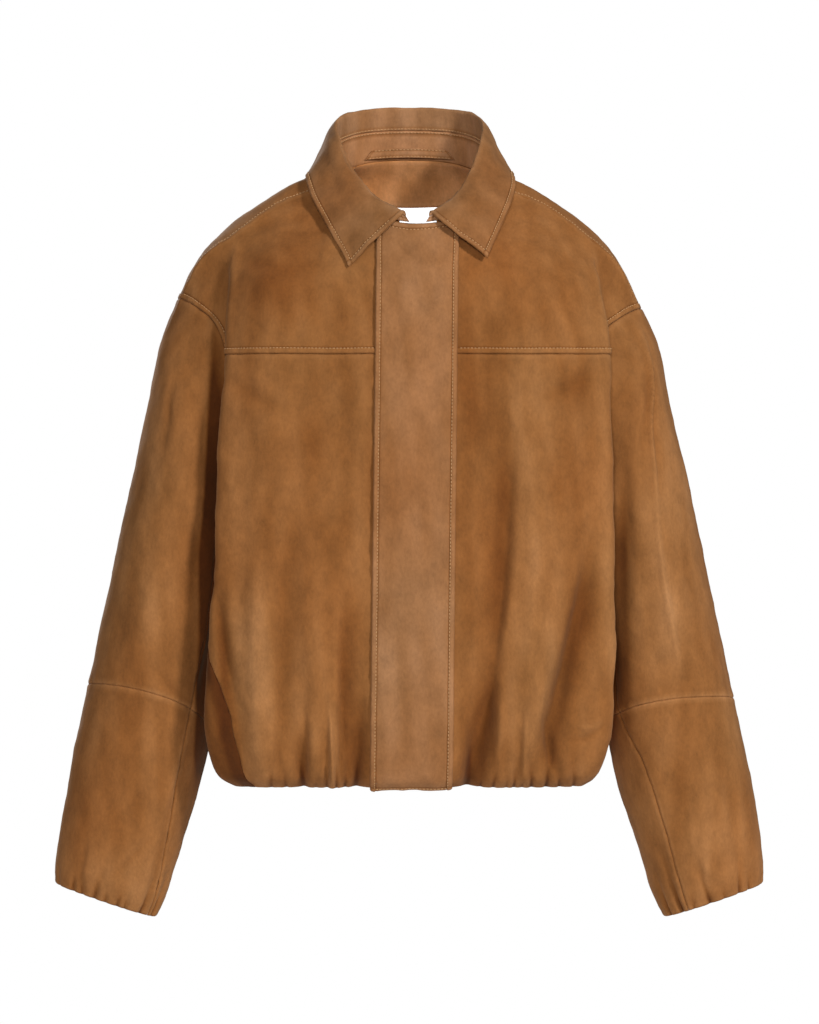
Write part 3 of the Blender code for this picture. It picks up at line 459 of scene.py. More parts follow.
def cut(name, node, points_at, edges, material=nap, base=SUEDE_TAN, step=(2.6, 2.6),
        height=None, lift=0.0, thickness=SUEDE_THICKNESS, inside=within_body, showing=1,
        seat=None, still=(), hangs=None, shade_and_wear=None):
    """One piece: a closed shell on its surface, with its folds, edges and grooves. Folds
    die away towards the edges named in still, and by the bottom edge they stand out
    square to the way the piece hangs. The last argument gives painted shade and
    highlight in its colour, and where its nap is rubbed paler."""
    s, t = even_grid(points_at, step, edges)
    smooth = points_at(s.ravel(), t.ravel()).reshape(*s.shape, 3)
    out = faces_out(smooth, inside, showing)
    rise = WAVER * unevenness(smooth, WAVER_SIZE, 31) + DIMPLE * unevenness(smooth, DIMPLE_SIZE, 32)
    if height is not None:
        rise += height(s, t, smooth)
    rise *= showing
    fold = rise.copy()
    for side in still:
        away = running_lengths(seen_from(side, smooth))
        seen_from(side, rise)[...] *= ramp(away, 0.0, STILL_REACH)
    rise += lift
    groove = np.zeros(s.shape)
    full = np.ones(s.shape)
    # ridges of the folds rubbed paler, troughs given painted shade
    paler = RIDGE_RUB_AND_TROUGH_SHADE * np.clip(fold, DEEPEST_SHADED_TROUGH, HIGHEST_RUBBED_RIDGE)
    # painted shade and highlight, and rubbed nap, from the last argument
    if shade_and_wear is not None:
        paler += shade_and_wear(s, t, smooth)
    for number, (side, edge) in enumerate(edges.items()):
        net = seen_from(side, smooth)
        away = running_lengths(net)
        along = running_lengths(net[:, :1].swapaxes(0, 1))[0][:, None]
        line = np.concatenate([along, 0 * along, 0 * along], axis=1)
        wave = unevenness(line, PUCKER_SIZE, 40 + number)
        wave += 0.6 * unevenness(line, FINE_PUCKER_SIZE, 50 + number)
        share = np.clip(away / edge.radius, 0.0, 1.0)
        seen_from(side, full)[...] *= np.maximum(np.sqrt(1 - (1 - share) ** 2), THINNEST_EDGE)
        reach = edge.stitch_at or TURNING_REACH
        turning = ramp(away, 0.0, TURNING_RISE)
        turning *= 1 - ramp(away, *(reach + TURNING_FALL))
        sewn = 1 - ramp(along, *(edge.until + SEWN_FADE))
        turning *= sewn
        relief = edge.raised * turning - edge.sunk * np.exp(-((away / SUNK_WIDTH) ** 2))
        relief += edge.pucker * wave[:, None] * np.exp(-((away / PUCKER_REACH) ** 2))
        seen_from(side, rise)[...] += relief
        if edge.stitch_at:
            row = np.exp(-(((away - edge.stitch_at) / GROOVE_WIDTH) ** 2)) * sewn
            seen_from(side, groove)[...] += GROOVE_DEPTH * row
            seen_from(side, paler)[...] -= GROOVE_DARKER * row
        seen_from(side, paler)[...] += TURNING_PALER * turning - EDGE_DARKER * np.exp(-(away**2))
    half = thickness / 2
    if seat is not None:
        smooth, rise = seat(smooth, out, rise, half)
    way = out
    if hangs is not None:
        level_out = out - (out @ np.array(hangs))[..., None] * np.array(hangs)
        level_out /= np.maximum(np.linalg.norm(level_out, axis=2), 0.25)[..., None]
        share = HANGING_SHARE * ramp(t, HANGING_STARTS, HANGING_WHOLE)
        way = out + share[..., None] * (level_out - out)
    moved = smooth + way * rise[..., None]
    outer = moved + out * (half * full - half - groove)[..., None]
    inner = moved + out * (-half - half * full)[..., None]
    rows, columns = s.shape
    index = np.arange(rows * columns).reshape(rows, columns)
    corners = (index[:-1, :-1], index[1:, :-1], index[1:, 1:], index[:-1, 1:])
    front = np.stack(corners, axis=-1).reshape(-1, 4)
    rim = np.concatenate([index[0], index[1:, -1], index[-1, -2::-1], index[-2:0:-1, 0]])
    beyond = rows * columns
    ring = np.stack([rim, np.roll(rim, -1), np.roll(rim, -1) + beyond, rim + beyond], axis=1)
    faces = np.concatenate([front, front[:, ::-1] + beyond, ring])
    points = np.concatenate([outer.reshape(-1, 3), inner.reshape(-1, 3)])
    a, b, c = points[front[:, 0]], points[front[:, 1]], points[front[:, 2]]
    facing = (np.cross(b - a, c - a) * out[:-1, :-1].reshape(-1, 3)).sum()
    if facing < 0:
        faces = faces[:, ::-1]
    colours = None
    if material is nap:
        worn_and_shaded = np.maximum(1 + paler, DARKEST_NAP)[..., None] ** NAP_DEPTH
        shade = (nap_colour(outer, base) * worn_and_shaded).reshape(-1, 3)
        # painted shade on the inner face
        colours = np.concatenate([shade, INSIDE_PAINTED_SHADE * shade])
    shell = made_of(name, points, faces.tolist(), material, colours)
    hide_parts(node)
    return Piece(shell, outer, out, edges)


def point_at(place, run, line):
    """The point of a line at a distance along it; run holds its points' distances."""
    return np.array([np.interp(place, run, line[:, axis]) for axis in range(3)])


def thread_line(piece, edge, at, trim=(2.0, 2.0)):
    """Where a row of stitches runs: its points and the directions out of the suede."""
    net, out = seen_from(edge, piece.outer), seen_from(edge, piece.out)
    away = running_lengths(net)
    line = np.array([point_at(at, away[row], net[row]) for row in range(len(net))])
    ways = np.array([point_at(at, away[row], out[row]) for row in range(len(net))])
    run = running_lengths(line[None])[0]
    kept = (run >= trim[0]) & (run <= min(run[-1], piece.edges[edge].until) - trim[1])
    return line[kept], ways[kept]


def sew(name, rows):
    """Rows of thread: each stitch is a short bead that dips into the suede at both ends."""
    reach = np.array([-0.5, -0.34, 0.34, 0.5]) * STITCH_LENGTH
    size = np.array([0.5, 1.0, 1.0, 0.5]) * THREAD_RADIUS
    lift = np.array([-0.22, 0.16, 0.16, -0.22])
    turn = np.arange(BEAD_SIDES) * 2 * math.pi / BEAD_SIDES
    cos, sin = np.cos(turn)[None, :, None], np.sin(turn)[None, :, None]
    points, faces = [], []
    for line, ways in rows:
        run = running_lengths(line[None])[0]
        count = int(run[-1] / STITCH_PITCH)
        places = (np.arange(count) + 0.5) * run[-1] / count
        for place in places:
            ahead, behind = point_at(place + 1, run, line), point_at(place - 1, run, line)
            forward = (ahead - behind) / np.linalg.norm(ahead - behind)
            across = np.cross(forward, point_at(place, run, ways))
            across /= np.linalg.norm(across)
            up = np.cross(across, forward)
            rings = point_at(place, run, line)
            rings = rings + reach[:, None, None] * forward + lift[:, None, None] * up
            rings = rings + size[:, None, None] * (cos * across + sin * up)
            first = len(points) * 4 * BEAD_SIDES
            last = first + 3 * BEAD_SIDES
            points.append(rings.reshape(-1, 3))
            for here in range(first, last, BEAD_SIDES):
                there = here + BEAD_SIDES
                for k in range(BEAD_SIDES):
                    after = (k + 1) % BEAD_SIDES
                    faces.append((here + k, here + after, there + after, there + k))
            faces.append(tuple(first + k for k in reversed(range(BEAD_SIDES))))
            faces.append(tuple(last + k for k in range(BEAD_SIDES)))
    made = made_of(name, np.concatenate(points), faces, thread)
    return made


# ---- Back ----------------------------------------------------------------------------
# One whole panel of suede without a centre seam, which comes over the top of the shoulders
# to the forward seam and is topstitched along the armholes. Folds hang in it from the chest
# down, and the elastic in the hem draws it into uneven pinches.
HEM_LEVEL = 530.0
RIGHT_SEAM = [(236, 1.0), (285, 0.98), (340, 0.89), (392, 0.76), (424, 0.68), (458, 0.63),
              (500, 0.61), (530, 0.63)]
CLOSE_STEPS = (0.0, 0.25, 0.6, 1.1, 1.8, 2.8)
STITCH_STEPS = CLOSE_STEPS + (4.0, 4.9, 5.4, 5.8, 6.2, 6.8, 8.0)
STITCHED_AT = 5.8
TOPSTITCHED = Edge(1.4, STITCHED_AT, 0.55, 0.35, 0.30, STITCH_STEPS)
GATHERED = Edge(1.8, 0.0, 0.5, 0.0, 0.0, CLOSE_STEPS)
FOLD_DEPTH, PINCH_DEPTH, PINCH_REACH = 1.45, 1.8, 1.7
FOLD_GROWS, FOLD_FADES = (0.0, 0.7), (1.0, 1.25)
HEM_FULLER, FULLER_FROM = 1.3, np.array([-34, -12])
HEM_TUCKED, TUCKED_FROM = 2.0, np.array([-7, 2])
NOTCH_SHADE, NOTCH_REACH, NOTCH_WIDTH = 0.30, 0.7, 0.55
CREASE_STEPS, CREASE_HOLLOW = 17, 0.25
PANEL_WAVER_SIZE = 70
STRIP_SHADES = [(0.45, 0.90, 0.95), (0.30, 0.972, 0.988)]       # darker by, between shares
STRIP_DARK_BELOW = (0.64, 0.80)
UNDER_COLLAR_X = 84.0
Fold = namedtuple("Fold", "x_top z_top x_end z_end width height")
BACK_FOLDS = each(Fold, [
    (-96, -330, -82, -582, 14, -5.0), (-40, -420, -30, -582, 10, -3.5),
    (28, -380, 20, -582, 12, -4.0), (104, -340, 88, -582, 14, -5.5),
    (-150, -180, -128, -420, 16, -4.0), (152, -190, 130, -430, 16, -4.0),
])
Crease = namedtuple("Crease", "u1 v1 u2 v2 u3 v3 width height skew", defaults=(1.0,))
BACK_CREASES = each(Crease, [
    (-70, -470, -64, -520, -68, -572, 5.0, -2.0), (60, -480, 64, -525, 58, -572, 5.0, -2.2),
    (128, -450, 122, -510, 128, -566, 6.0, -2.4), (-126, -440, -130, -500, -122, -560, 6.0, 2.0),
    (-150, -150, -110, -190, -70, -205, 10.0, -1.8), (150, -150, 112, -186, 80, -212, 10.0, -1.8),
    (-10, -520, -6, -545, -10, -574, 4.0, 1.8), (0, -60, 6, -110, 0, -170, 18.0, 1.0),
])
Pinch = namedtuple("Pinch", "place reach lean width depth")
BACK_PINCHES = each(Pinch, [
    (-150, 44, 5, 4.0, 3.0), (-136, 24, -2, 2.8, 2.4), (-121, 60, 6, 4.6, 3.4),
    (-106, 26, 2, 2.8, 2.4), (-93, 38, -3, 3.2, 2.8), (-78, 90, 8, 5.2, 3.8),
    (-63, 24, -3, 2.6, 2.2), (-52, 36, 2, 3.0, 2.6), (-37, 22, -2, 2.6, 2.2),
    (-26, 70, 4, 4.4, 3.4), (-11, 28, 2, 2.8, 2.4), (3, 22, -2, 2.4, 2.2), (17, 80, -4, 4.8, 3.6),
    (31, 26, 3, 2.8, 2.4), (44, 40, -2, 3.2, 2.8), (58, 24, 2, 2.6, 2.2), (70, 34, -4, 3.0, 2.8),
    (86, 86, -8, 5.2, 3.8), (100, 26, 2, 2.8, 2.4), (113, 42, -3, 3.2, 2.8),
    (128, 62, -6, 4.6, 3.4), (144, 26, 3, 2.8, 2.4), (157, 36, -3, 3.4, 2.6),
])


def hanging(points, folds):
    """Height at points of the folds that hang from the chest and grow towards the hem."""
    height = np.zeros(points.shape[:-1])
    x, z = points[..., 0], points[..., 2]
    for fold in folds:
        share = (z - fold.z_top) / (fold.z_end - fold.z_top)
        centre = fold.x_top + share * (fold.x_end - fold.x_top)
        strength = ramp(share, *FOLD_GROWS) * (1.0 - ramp(share, *FOLD_FADES))
        width = fold.width * (0.6 + 0.5 * np.clip(share, 0, 1))
        height += FOLD_DEPTH * fold.height * strength * np.exp(-(((x - centre) / width) ** 2))
    return height


def creased(u, v, creases):
    """Height of soft creases: each bends through three points and fades at both ends.
    A skew over 1 makes it wide on its high-u side and steep on the other."""
    height = np.zeros(u.shape)
    for crease in creases:
        t = np.linspace(0, 1, CREASE_STEPS)
        along_u = (1 - t) ** 2 * crease.u1 + 2 * t * (1 - t) * crease.u2 + t**2 * crease.u3
        along_v = (1 - t) ** 2 * crease.v1 + 2 * t * (1 - t) * crease.v2 + t**2 * crease.v3
        away = np.full(u.shape, 1e9)
        share = np.zeros(u.shape)
        beside = np.zeros(u.shape)
        for k in range(len(t) - 1):
            run_u, run_v = along_u[k + 1] - along_u[k], along_v[k + 1] - along_v[k]
            from_u, from_v = u - along_u[k], v - along_v[k]
            on = np.clip((from_u * run_u + from_v * run_v) / (run_u**2 + run_v**2), 0.0, 1.0)
            apart = (from_u - on * run_u) ** 2 + (from_v - on * run_v) ** 2
            nearer = apart < away
            away = np.where(nearer, apart, away)
            share = np.where(nearer, t[k] + on * t[1], share)
            beside = np.where(nearer, from_u - on * run_u, beside)
        skew = crease.skew ** np.tanh(beside / 2.0)
        q = away / (crease.width * skew) ** 2
        fade = np.sin(math.pi * np.clip(share, 0.04, 0.96)) ** 0.8
        ridge = np.exp(-q) - CREASE_HOLLOW * np.exp(-q / 5.0)
        height += FOLD_DEPTH * crease.height * fade * ridge
    return height


def pinched(place, level, last, pinches):
    """Height where an elastic pinches the cloth, up from the last level."""
    height = HEM_FULLER * ramp(level, *(last + FULLER_FROM))
    height -= HEM_TUCKED * ramp(level, *(last + TUCKED_FROM))
    for pinch in pinches:
        rise = np.clip((last - level) / (PINCH_REACH * pinch.reach), 0.0, 1.0)
        centre = pinch.place + pinch.lean * rise
        width = pinch.width * (1.0 + 0.9 * rise)
        depth = PINCH_DEPTH * pinch.depth * (1.0 - rise) ** 1.1
        height -= depth * np.exp(-(((place - centre) / width) ** 2))
    return height


def painted_pinch_shade(place, level, last, pinches):
    """Painted shade: how much darker the colour is made in the bottom of each pinch."""
    darker = np.zeros(place.shape)
    for pinch in pinches:
        rise = np.clip((last - level) / (NOTCH_REACH * pinch.reach), 0.0, 1.0)
        centre = pinch.place + pinch.lean * rise / 3
        share = np.exp(-(((place - centre) / (NOTCH_WIDTH * pinch.width)) ** 2))
        darker -= NOTCH_SHADE * pinch.depth * (1.0 - rise) * share
    return darker


BACK_START = 1.0 + 1e-6     # the left seam, on its back side


def back_at(s, t):
    level = t * HEM_LEVEL
    end = 4.0 - from_table(RIGHT_SEAM, level)
    return body(BACK_START + (end - BACK_START) * s, level)


def back_height(s, t, points):
    level = t * HEM_LEVEL
    height = hanging(points, BACK_FOLDS) + creased(points[..., 0], points[..., 2], BACK_CREASES)
    height += pinched(points[..., 0], level, HEM_LEVEL, BACK_PINCHES)
    return height + unevenness(points, PANEL_WAVER_SIZE, 61)


def along_armhole(side_column, top, bottom):
    """Length of the armhole seam between two levels."""
    line = body(np.full(40, float(side_column)), np.linspace(top, bottom, 40))
    return running_lengths(line[None])[0][-1]


def back_painted_shade(s, t, points):
    """Painted shade: the strip that comes round to the front is darker, most of all by its seam,
    and so is the bottom of each pinch in the hem.
    """
    strip = sum(darker * ramp(s, *shares) for darker, *shares in STRIP_SHADES)
    dark = painted_pinch_shade(points[..., 0], t * HEM_LEVEL, HEM_LEVEL, BACK_PINCHES)
    return dark - strip * ramp(t, *STRIP_DARK_BELOW)


BACK_ARMHOLE = TOPSTITCHED._replace(until=along_armhole(BACK_START, 0.0, UNDERARM_LEVEL))
back = cut("back", "back_panel", back_at, step=(2.1, 4.8), height=back_height,
           still=("start", "end", "top"), hangs=(0, 0, 1), shade_and_wear=back_painted_shade,
           edges=edged(BACK_ARMHOLE, BACK_ARMHOLE, TOPSTITCHED, GATHERED))
back_rows = [thread_line(back, edge, STITCHED_AT, (8.0, 2.0)) for edge in ("start", "end")]
line, ways = thread_line(back, "top", STITCHED_AT, (8.0, 8.0))
for shoulder in (line[:, 0] > UNDER_COLLAR_X, line[:, 0] < -UNDER_COLLAR_X):
    back_rows.append((line[shoulder], ways[shoulder]))
back_thread = sew("back_stitches", back_rows)

# ---- Yokes ---------------------------------------------------------------------------
# The upper fronts, from the shoulder seam to the chest seam. Each is lapped over the front
# below it, and a row of thread holds the turning down along the chest and the armhole.
CHEST_LEVEL = 120.0
FRONT_EDGE, TUCK, YOKE_LAP = 17.0, 1.2, 0.4
FRONT_WAVER, WAVER_BESIDE_BAND = 0.8, (40, 60)
HANDS = ((-1, "right"), (1, "left"))
PLAIN = Edge(1.3, 0.0, 0.15, 0.5, 0.20, CLOSE_STEPS)
HIDDEN = Edge(0.8, 0.0, 0.0, 0.0, 0.0, (0.0, 0.8))
FRONT_FOLDS = each(Fold, [
    (-44, -460, -48, -582, 9, -4.0), (-100, -500, -102, -582, 7, -3.0),
    (-72, -500, -70, -582, 5, 2.5), (-170, -450, -159, -582, 6, -3.0),
    (96, -425, 54, -582, 12, -7.0), (166, -372, 126, -545, 12, -5.6),
    (142, -325, 116, -540, 13, 4.5), (60, -330, 88, -520, 26, 3.0),
    (-130, -330, -122, -540, 24, 3.0),
])
FRONT_CREASES = each(Crease, [
    (94, -250, 90, -420, 54, -600, 11, -7.0, 0.62), (108, -230, 128, -400, 96, -590, 13, 4.0),
    (172, -330, 162, -440, 122, -535, 12, -6.4, 1.45), (180, -210, 186, -330, 176, -460, 11, 2.0),
    (127, -505, 122, -530, 142, -580, 4.5, -3.4, 1.4),
    (146, -515, 166, -530, 182, -514, 3.2, 2.4), (144, -532, 160, -540, 178, -526, 3.0, -2.2),
    (82, -480, 86, -530, 78, -590, 5, 3.0), (104, -500, 100, -540, 104, -600, 4.0, -2.6, 0.7),
    (-108, -330, -126, -440, -112, -590, 10, -4.5, 1.4),
    (-140, -350, -146, -450, -134, -580, 11, 3.0),
    (-58, -400, -68, -500, -50, -600, 7, -5.0, 1.6), (-92, -390, -86, -490, -84, -580, 10, 3.0),
    (-180, -390, -173, -475, -156, -580, 6, -5.5, 1.4),
    (-75, -490, -71, -540, -72, -600, 2.8, 2.4),
    (-66, -495, -63, -545, -63, -600, 3.0, -3.2, 1.5),
    (-124, -520, -120, -548, -124, -600, 3.6, -2.2), (-98, -500, -94, -545, -98, -600, 3.6, -2.4),
    (178, -190, 148, -212, 116, -220, 8, -2.0), (-176, -196, -148, -218, -110, -232, 8, -2.0),
    (171, -58, 180, -116, 186, -172, 3.4, 2.0, 0.8),
    (-163, -56, -167, -116, -171, -172, 3.4, 2.0, 1.25),
    (-176, -70, -140, -96, -92, -104, 8, -1.6), (176, -74, 140, -100, 96, -112, 8, -1.6),
])
FRONT_PINCHES = each(Pinch, [
    (-160, 60, 4, 4.5, 3.0), (-146, 18, -2, 2.6, 1.8), (-129, 26, 2, 2.6, 2.4),
    (-115, 20, -3, 2.4, 2.2), (-99, 40, -5, 3.2, 2.8), (-87, 12, 2, 2.0, 1.5),
    (-77, 26, 3, 2.2, 2.4), (-68, 36, 2, 2.0, 2.4), (-60, 24, 4, 2.2, 2.4),
    (-50, 50, 5, 3.6, 2.4), (53, 70, 12, 4.5, 3.4), (66, 14, 3, 2.0, 1.6), (78, 24, 4, 2.4, 2.4),
    (90, 14, 2, 2.0, 1.8), (97, 28, 4, 2.2, 2.4), (105, 14, 0, 2.0, 1.8), (114, 32, -4, 2.6, 2.6),
    (128, 34, 5, 3.2, 2.8), (141, 20, -4, 2.4, 2.2), (155, 30, -7, 2.8, 2.4),
])


def column_for_x(side, level, offset):
    """Column at which the front stands offset from the closure line."""
    levels, rows = BODY[side, -1]
    reach = np.interp(level, levels, np.abs(rows[:, 1, 0] - rows[:, 0, 0]))
    return side * COLUMN_AT[1] * offset / reach


def front_across(side, s, level, end):
    """Points across a front, from its edge behind the band to the column end."""
    start = column_for_x(side, level, FRONT_EDGE)
    return body(start + (end - start) * s, level)


def front_height(level, points):
    """Height of the folds, creases and hem pinches of both fronts."""
    height = hanging(points, FRONT_FOLDS)
    height += creased(points[..., 0], points[..., 2], FRONT_CREASES)
    height += pinched(points[..., 0], level, HEM_LEVEL, FRONT_PINCHES)
    beside_band = ramp(np.abs(points[..., 0]), *WAVER_BESIDE_BAND)
    return height + FRONT_WAVER * unevenness(points, PANEL_WAVER_SIZE, 62) * beside_band


def yoke_height(s, t, points):
    return front_height(t * CHEST_LEVEL, points) + YOKE_LAP * ramp(t, 0.9, 1.0)


for side, hand in HANDS:
    def yoke_at(s, t, side=side):
        return front_across(side, s, t * (CHEST_LEVEL + TUCK) - TUCK, side)

    yoke = cut(f"yoke_{hand}", f"front_yoke_{hand}", yoke_at, height=yoke_height,
               still=("end", "top"), edges=edged(HIDDEN, TOPSTITCHED, PLAIN, TOPSTITCHED))
    row = sew(f"yoke_stitches_{hand}", [
        thread_line(yoke, "bottom", STITCHED_AT, (22.0, 3.0)),
        thread_line(yoke, "end", STITCHED_AT, (3.0, 3.0)),
    ])

# ---- Fronts --------------------------------------------------------------------------
# The lower fronts hang from the chest seam to the gathered hem. The right side seam swings
# forward, so that a narrow strip of the back shows beside it.
FRONT_ARMHOLE = TOPSTITCHED._replace(until=along_armhole(1.0, CHEST_LEVEL, UNDERARM_LEVEL))


def below_chest(t):
    return CHEST_LEVEL + t * (HEM_LEVEL - CHEST_LEVEL)


def lower_height(s, t, points):
    return front_height(below_chest(t), points)


# Painted shade in the bottom of each pinch of the hem.
def lower_painted_shade(s, t, points):
    return painted_pinch_shade(points[..., 0], below_chest(t), HEM_LEVEL, FRONT_PINCHES)


for side, hand in HANDS:
    def front_at(s, t, side=side):
        level = below_chest(t)
        end = -from_table(RIGHT_SEAM, level) if side < 0 else 1.0
        return front_across(side, s, level, end)

    front = cut(f"front_{hand}", f"front_panel_{hand}", front_at, step=(1.4, 3.3),
                height=lower_height, shade_and_wear=lower_painted_shade, still=("end",), hangs=(0, 0, 1),
                edges=edged(HIDDEN, FRONT_ARMHOLE, PLAIN, GATHERED))
    row = sew(f"front_stitches_{hand}", [thread_line(front, "end", STITCHED_AT, (3.0, 2.0))])

# ---- Front band and zip --------------------------------------------------------------
# A double strip of suede covers the zip from neck to hem. It is sewn down along its right
# edge and topstitched all round. Behind it a metal zip on brown tape is closed to the top.
BAND_HALF, BAND_TOP, BAND_HEM = 38.0, 2.0, 529.0
BAND_LIFT, DOUBLE_SUEDE = 0.7, 2.2
BAND_TAN = (0.325, 0.143, 0.053)
TAPE_HALF, TAPE_THICKNESS, TAPE_DEPTH = 22.0, 1.1, 1.8
BAND_EDGE = Edge(1.5, 5.4, 0.5, 0.0, 0.25, STITCH_STEPS)
TEETH_TOP, TEETH_END, TOOTH_PITCH = 8.0, BAND_HEM - 16, 3.0
TOOTH_ASIDE, TOOTH_SIZE = 1.4, (3.4, 1.2, 1.9)
SLIDER_LEVELS = (0.3, 4.8, 9.3)


def all_round(edge):
    return edged(edge, edge, edge, edge)


def strip_at(half, top, hem):
    """The surface of a strip that reaches half its width to each side of the closure."""
    def at(s, t):
        level = top + t * (hem - top)
        start, end = column_for_x(-1, level, half), column_for_x(1, level, half)
        return body(start + (end - start) * s, level)
    return at


BAND_CREASES = each(Crease, [
    (-22, -66, -4, -78, 10, -94, 3.5, -0.9), (-10, -88, 8, -100, 24, -96, 5.0, 0.8),
    (26, -62, 29, -88, 25, -124, 3.0, -0.8), (-20, -110, -8, -128, -12, -160, 5.0, -0.7),
    (14, -560, 18, -572, 30, -576, 3.0, 0.7),
])


def band_height(s, t, points):
    height = 0.6 * hanging(points, FRONT_FOLDS) + 0.35 * unevenness(points, 40, 63)
    return height + creased(points[..., 0], points[..., 2], BAND_CREASES)


band = cut("band", "front_band", strip_at(BAND_HALF, BAND_TOP, BAND_HEM),
           base=BAND_TAN, height=band_height, lift=BAND_LIFT + DOUBLE_SUEDE,
           thickness=DOUBLE_SUEDE, edges=all_round(BAND_EDGE))
band_thread = sew("band_stitches", [
    thread_line(band, "start", 5.6, (5.0, 5.0)),
    thread_line(band, "end", 5.6, (5.0, 5.0)),
    thread_line(band, "top", 7.0, (6.0, 6.0)),
    thread_line(band, "bottom", 5.0, (6.0, 6.0)),
])

tape_brown = plain_material("zip_tape", (0.075, 0.036, 0.018), 0.85)
zip_metal = plain_material("zip_metal", (0.42, 0.41, 0.40), 0.32, 1.0)
tape = cut("zip_tape_cloth", "zip_tape", strip_at(TAPE_HALF, 0.6, BAND_HEM - 8),
           all_round(HIDDEN), tape_brown, step=(5.0, 5.0), lift=-TAPE_DEPTH,
           thickness=TAPE_THICKNESS)


def blocks(name, centres, frames, sizes, material):
    """Small blocks: a frame is across, down and out; sizes are along each of them."""
    shape = np.array([(x, y, z) for x in (-1, 1) for y in (-1, 1) for z in (-1, 1)]) / 2
    quads = [(0, 1, 3, 2), (4, 6, 7, 5), (0, 4, 5, 1), (2, 3, 7, 6), (0, 2, 6, 4), (1, 5, 7, 3)]
    points, faces = [], []
    for number, (centre, axes, size) in enumerate(zip(centres, frames, sizes)):
        points.append(centre + (shape * size) @ axes)
        faces += [tuple(8 * number + k for k in quad) for quad in quads]
    made = made_of(name, np.concatenate(points), faces, material)
    made.data.shade_flat()
    return made


levels = np.arange(TEETH_TOP, TEETH_END, TOOTH_PITCH)
middle = body(np.zeros(len(levels)), levels)
down = np.gradient(middle, axis=0)
down /= np.linalg.norm(down, axis=1)[:, None]
across = np.array([1.0, 0.0, 0.0])
centres, frames, sizes = [], [], []
for number in range(len(levels)):
    out = np.cross(down[number], across)
    out *= -np.sign(out[1])
    for side in (-1, 1):
        shift = 0.5 * TOOTH_PITCH * (side > 0)
        place = middle[number] + across * side * TOOTH_ASIDE + down[number] * shift
        centres.append(place - out * (TAPE_DEPTH + TAPE_THICKNESS / 2))
        frames.append(np.array([across, down[number], out]))
        sizes.append(np.array(TOOTH_SIZE))
blocks("zip_teeth", centres, frames, sizes, zip_metal)

top = body(np.zeros(3), np.array(SLIDER_LEVELS))
axes = np.array([across, (top[2] - top[0]) / np.linalg.norm(top[2] - top[0]), (0, 0, 0)])
axes[2] = np.cross(axes[1], across)
axes[2] *= -np.sign(axes[2][1])
SLIDER_BLOCKS = [      # across, down, out from the cloth; width, height, thickness
    (0.0, 0.0, -0.45, 11.0, 8.6, 0.7),
    (-5.0, -0.5, -0.95, 1.2, 7.4, 1.5),
    (5.0, -0.5, -0.95, 1.2, 7.4, 1.5),
    (0.0, -3.8, -0.95, 3.2, 1.6, 1.4),
    (0.0, -1.0, -0.05, 2.4, 4.6, 0.5),
    (-3.6, -4.0, -0.9, 3.0, 1.0, 1.2),
    (3.6, -4.0, -0.9, 3.0, 1.0, 1.2),
]
slider = blocks(
    "slider",
    [top[1] + np.array(block[:3]) @ axes for block in SLIDER_BLOCKS],
    [axes] * len(SLIDER_BLOCKS),
    [np.array(block[3:]) for block in SLIDER_BLOCKS],
    zip_metal,
)
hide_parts("zip_slider")

# ---- Sleeves -------------------------------------------------------------------------
# Each sleeve is four pieces: a wide top half and a narrow under half, both joined across
# the elbow. It is set into the dropped armhole, and an elastic gathers the cuff.
CUFF_LEVEL, ELBOW_LEVEL = 505.0, 352.0
Ring = namedtuple("Ring", "level out_x out_z in_x in_z middle_y depth")
SLEEVE = each(Ring, [
    (40, 235, -160, 164, -303, 2, 132), (92, 247, -215, 167, -336, 2, 141),
    (170, 266, -302, 170, -392, 1, 142), (262, 287, -402, 176, -458, -1, 136),
    (352, 306, -492, 185, -524, -4, 127), (445, 324.5, -583, 208, -615, -9, 112),
    (485, 333, -645, 228, -676, -12, 92), (505, 335, -674, 240, -706, -14, 68),
])
RING_POWER = 2.2
FRONT_SLEEVE_SEAM = [(0, 138, 138), (352, 128, 142), (390, 126, 126), (430, 130, 120),
                     (505, 150, 119)]
BACK_SLEEVE_SEAM = 240.0
ELBOW_SEAM = [(0, -5, 9), (60, -15, -3), (100, -19, -14), (130, -13, -13), (160, 3, -5),
              (200, 4, 0), (270, 0, 4), (360, -5, 9)]
SLEEVE_FOLDS = [            # angle, level of both ends, half width in degrees, height
    (60, 20, 150, 9, -2.0),
    (112, 90, 260, 12, -5.0),
    (78, 190, 330, 14, 3.0),
    (140, 250, 345, 11, -4.0),
    (300, 40, 200, 14, -4.0),
    (250, 200, 340, 13, -4.0),
    (100, 400, 480, 10, -3.0),
    (285, 380, 480, 13, -3.5),
]
SLEEVE_FOLD_LEAN, SLEEVE_FOLD_TAPER, ARMHOLE_CALM = 6.0, 0.62, 30.0
SLEEVE_WAVER, SLEEVE_WAVER_SIZE = 0.35, 60
SEAM_ROUNDED, ELBOW_ROUNDED = 12, 9         # millimetres and degrees
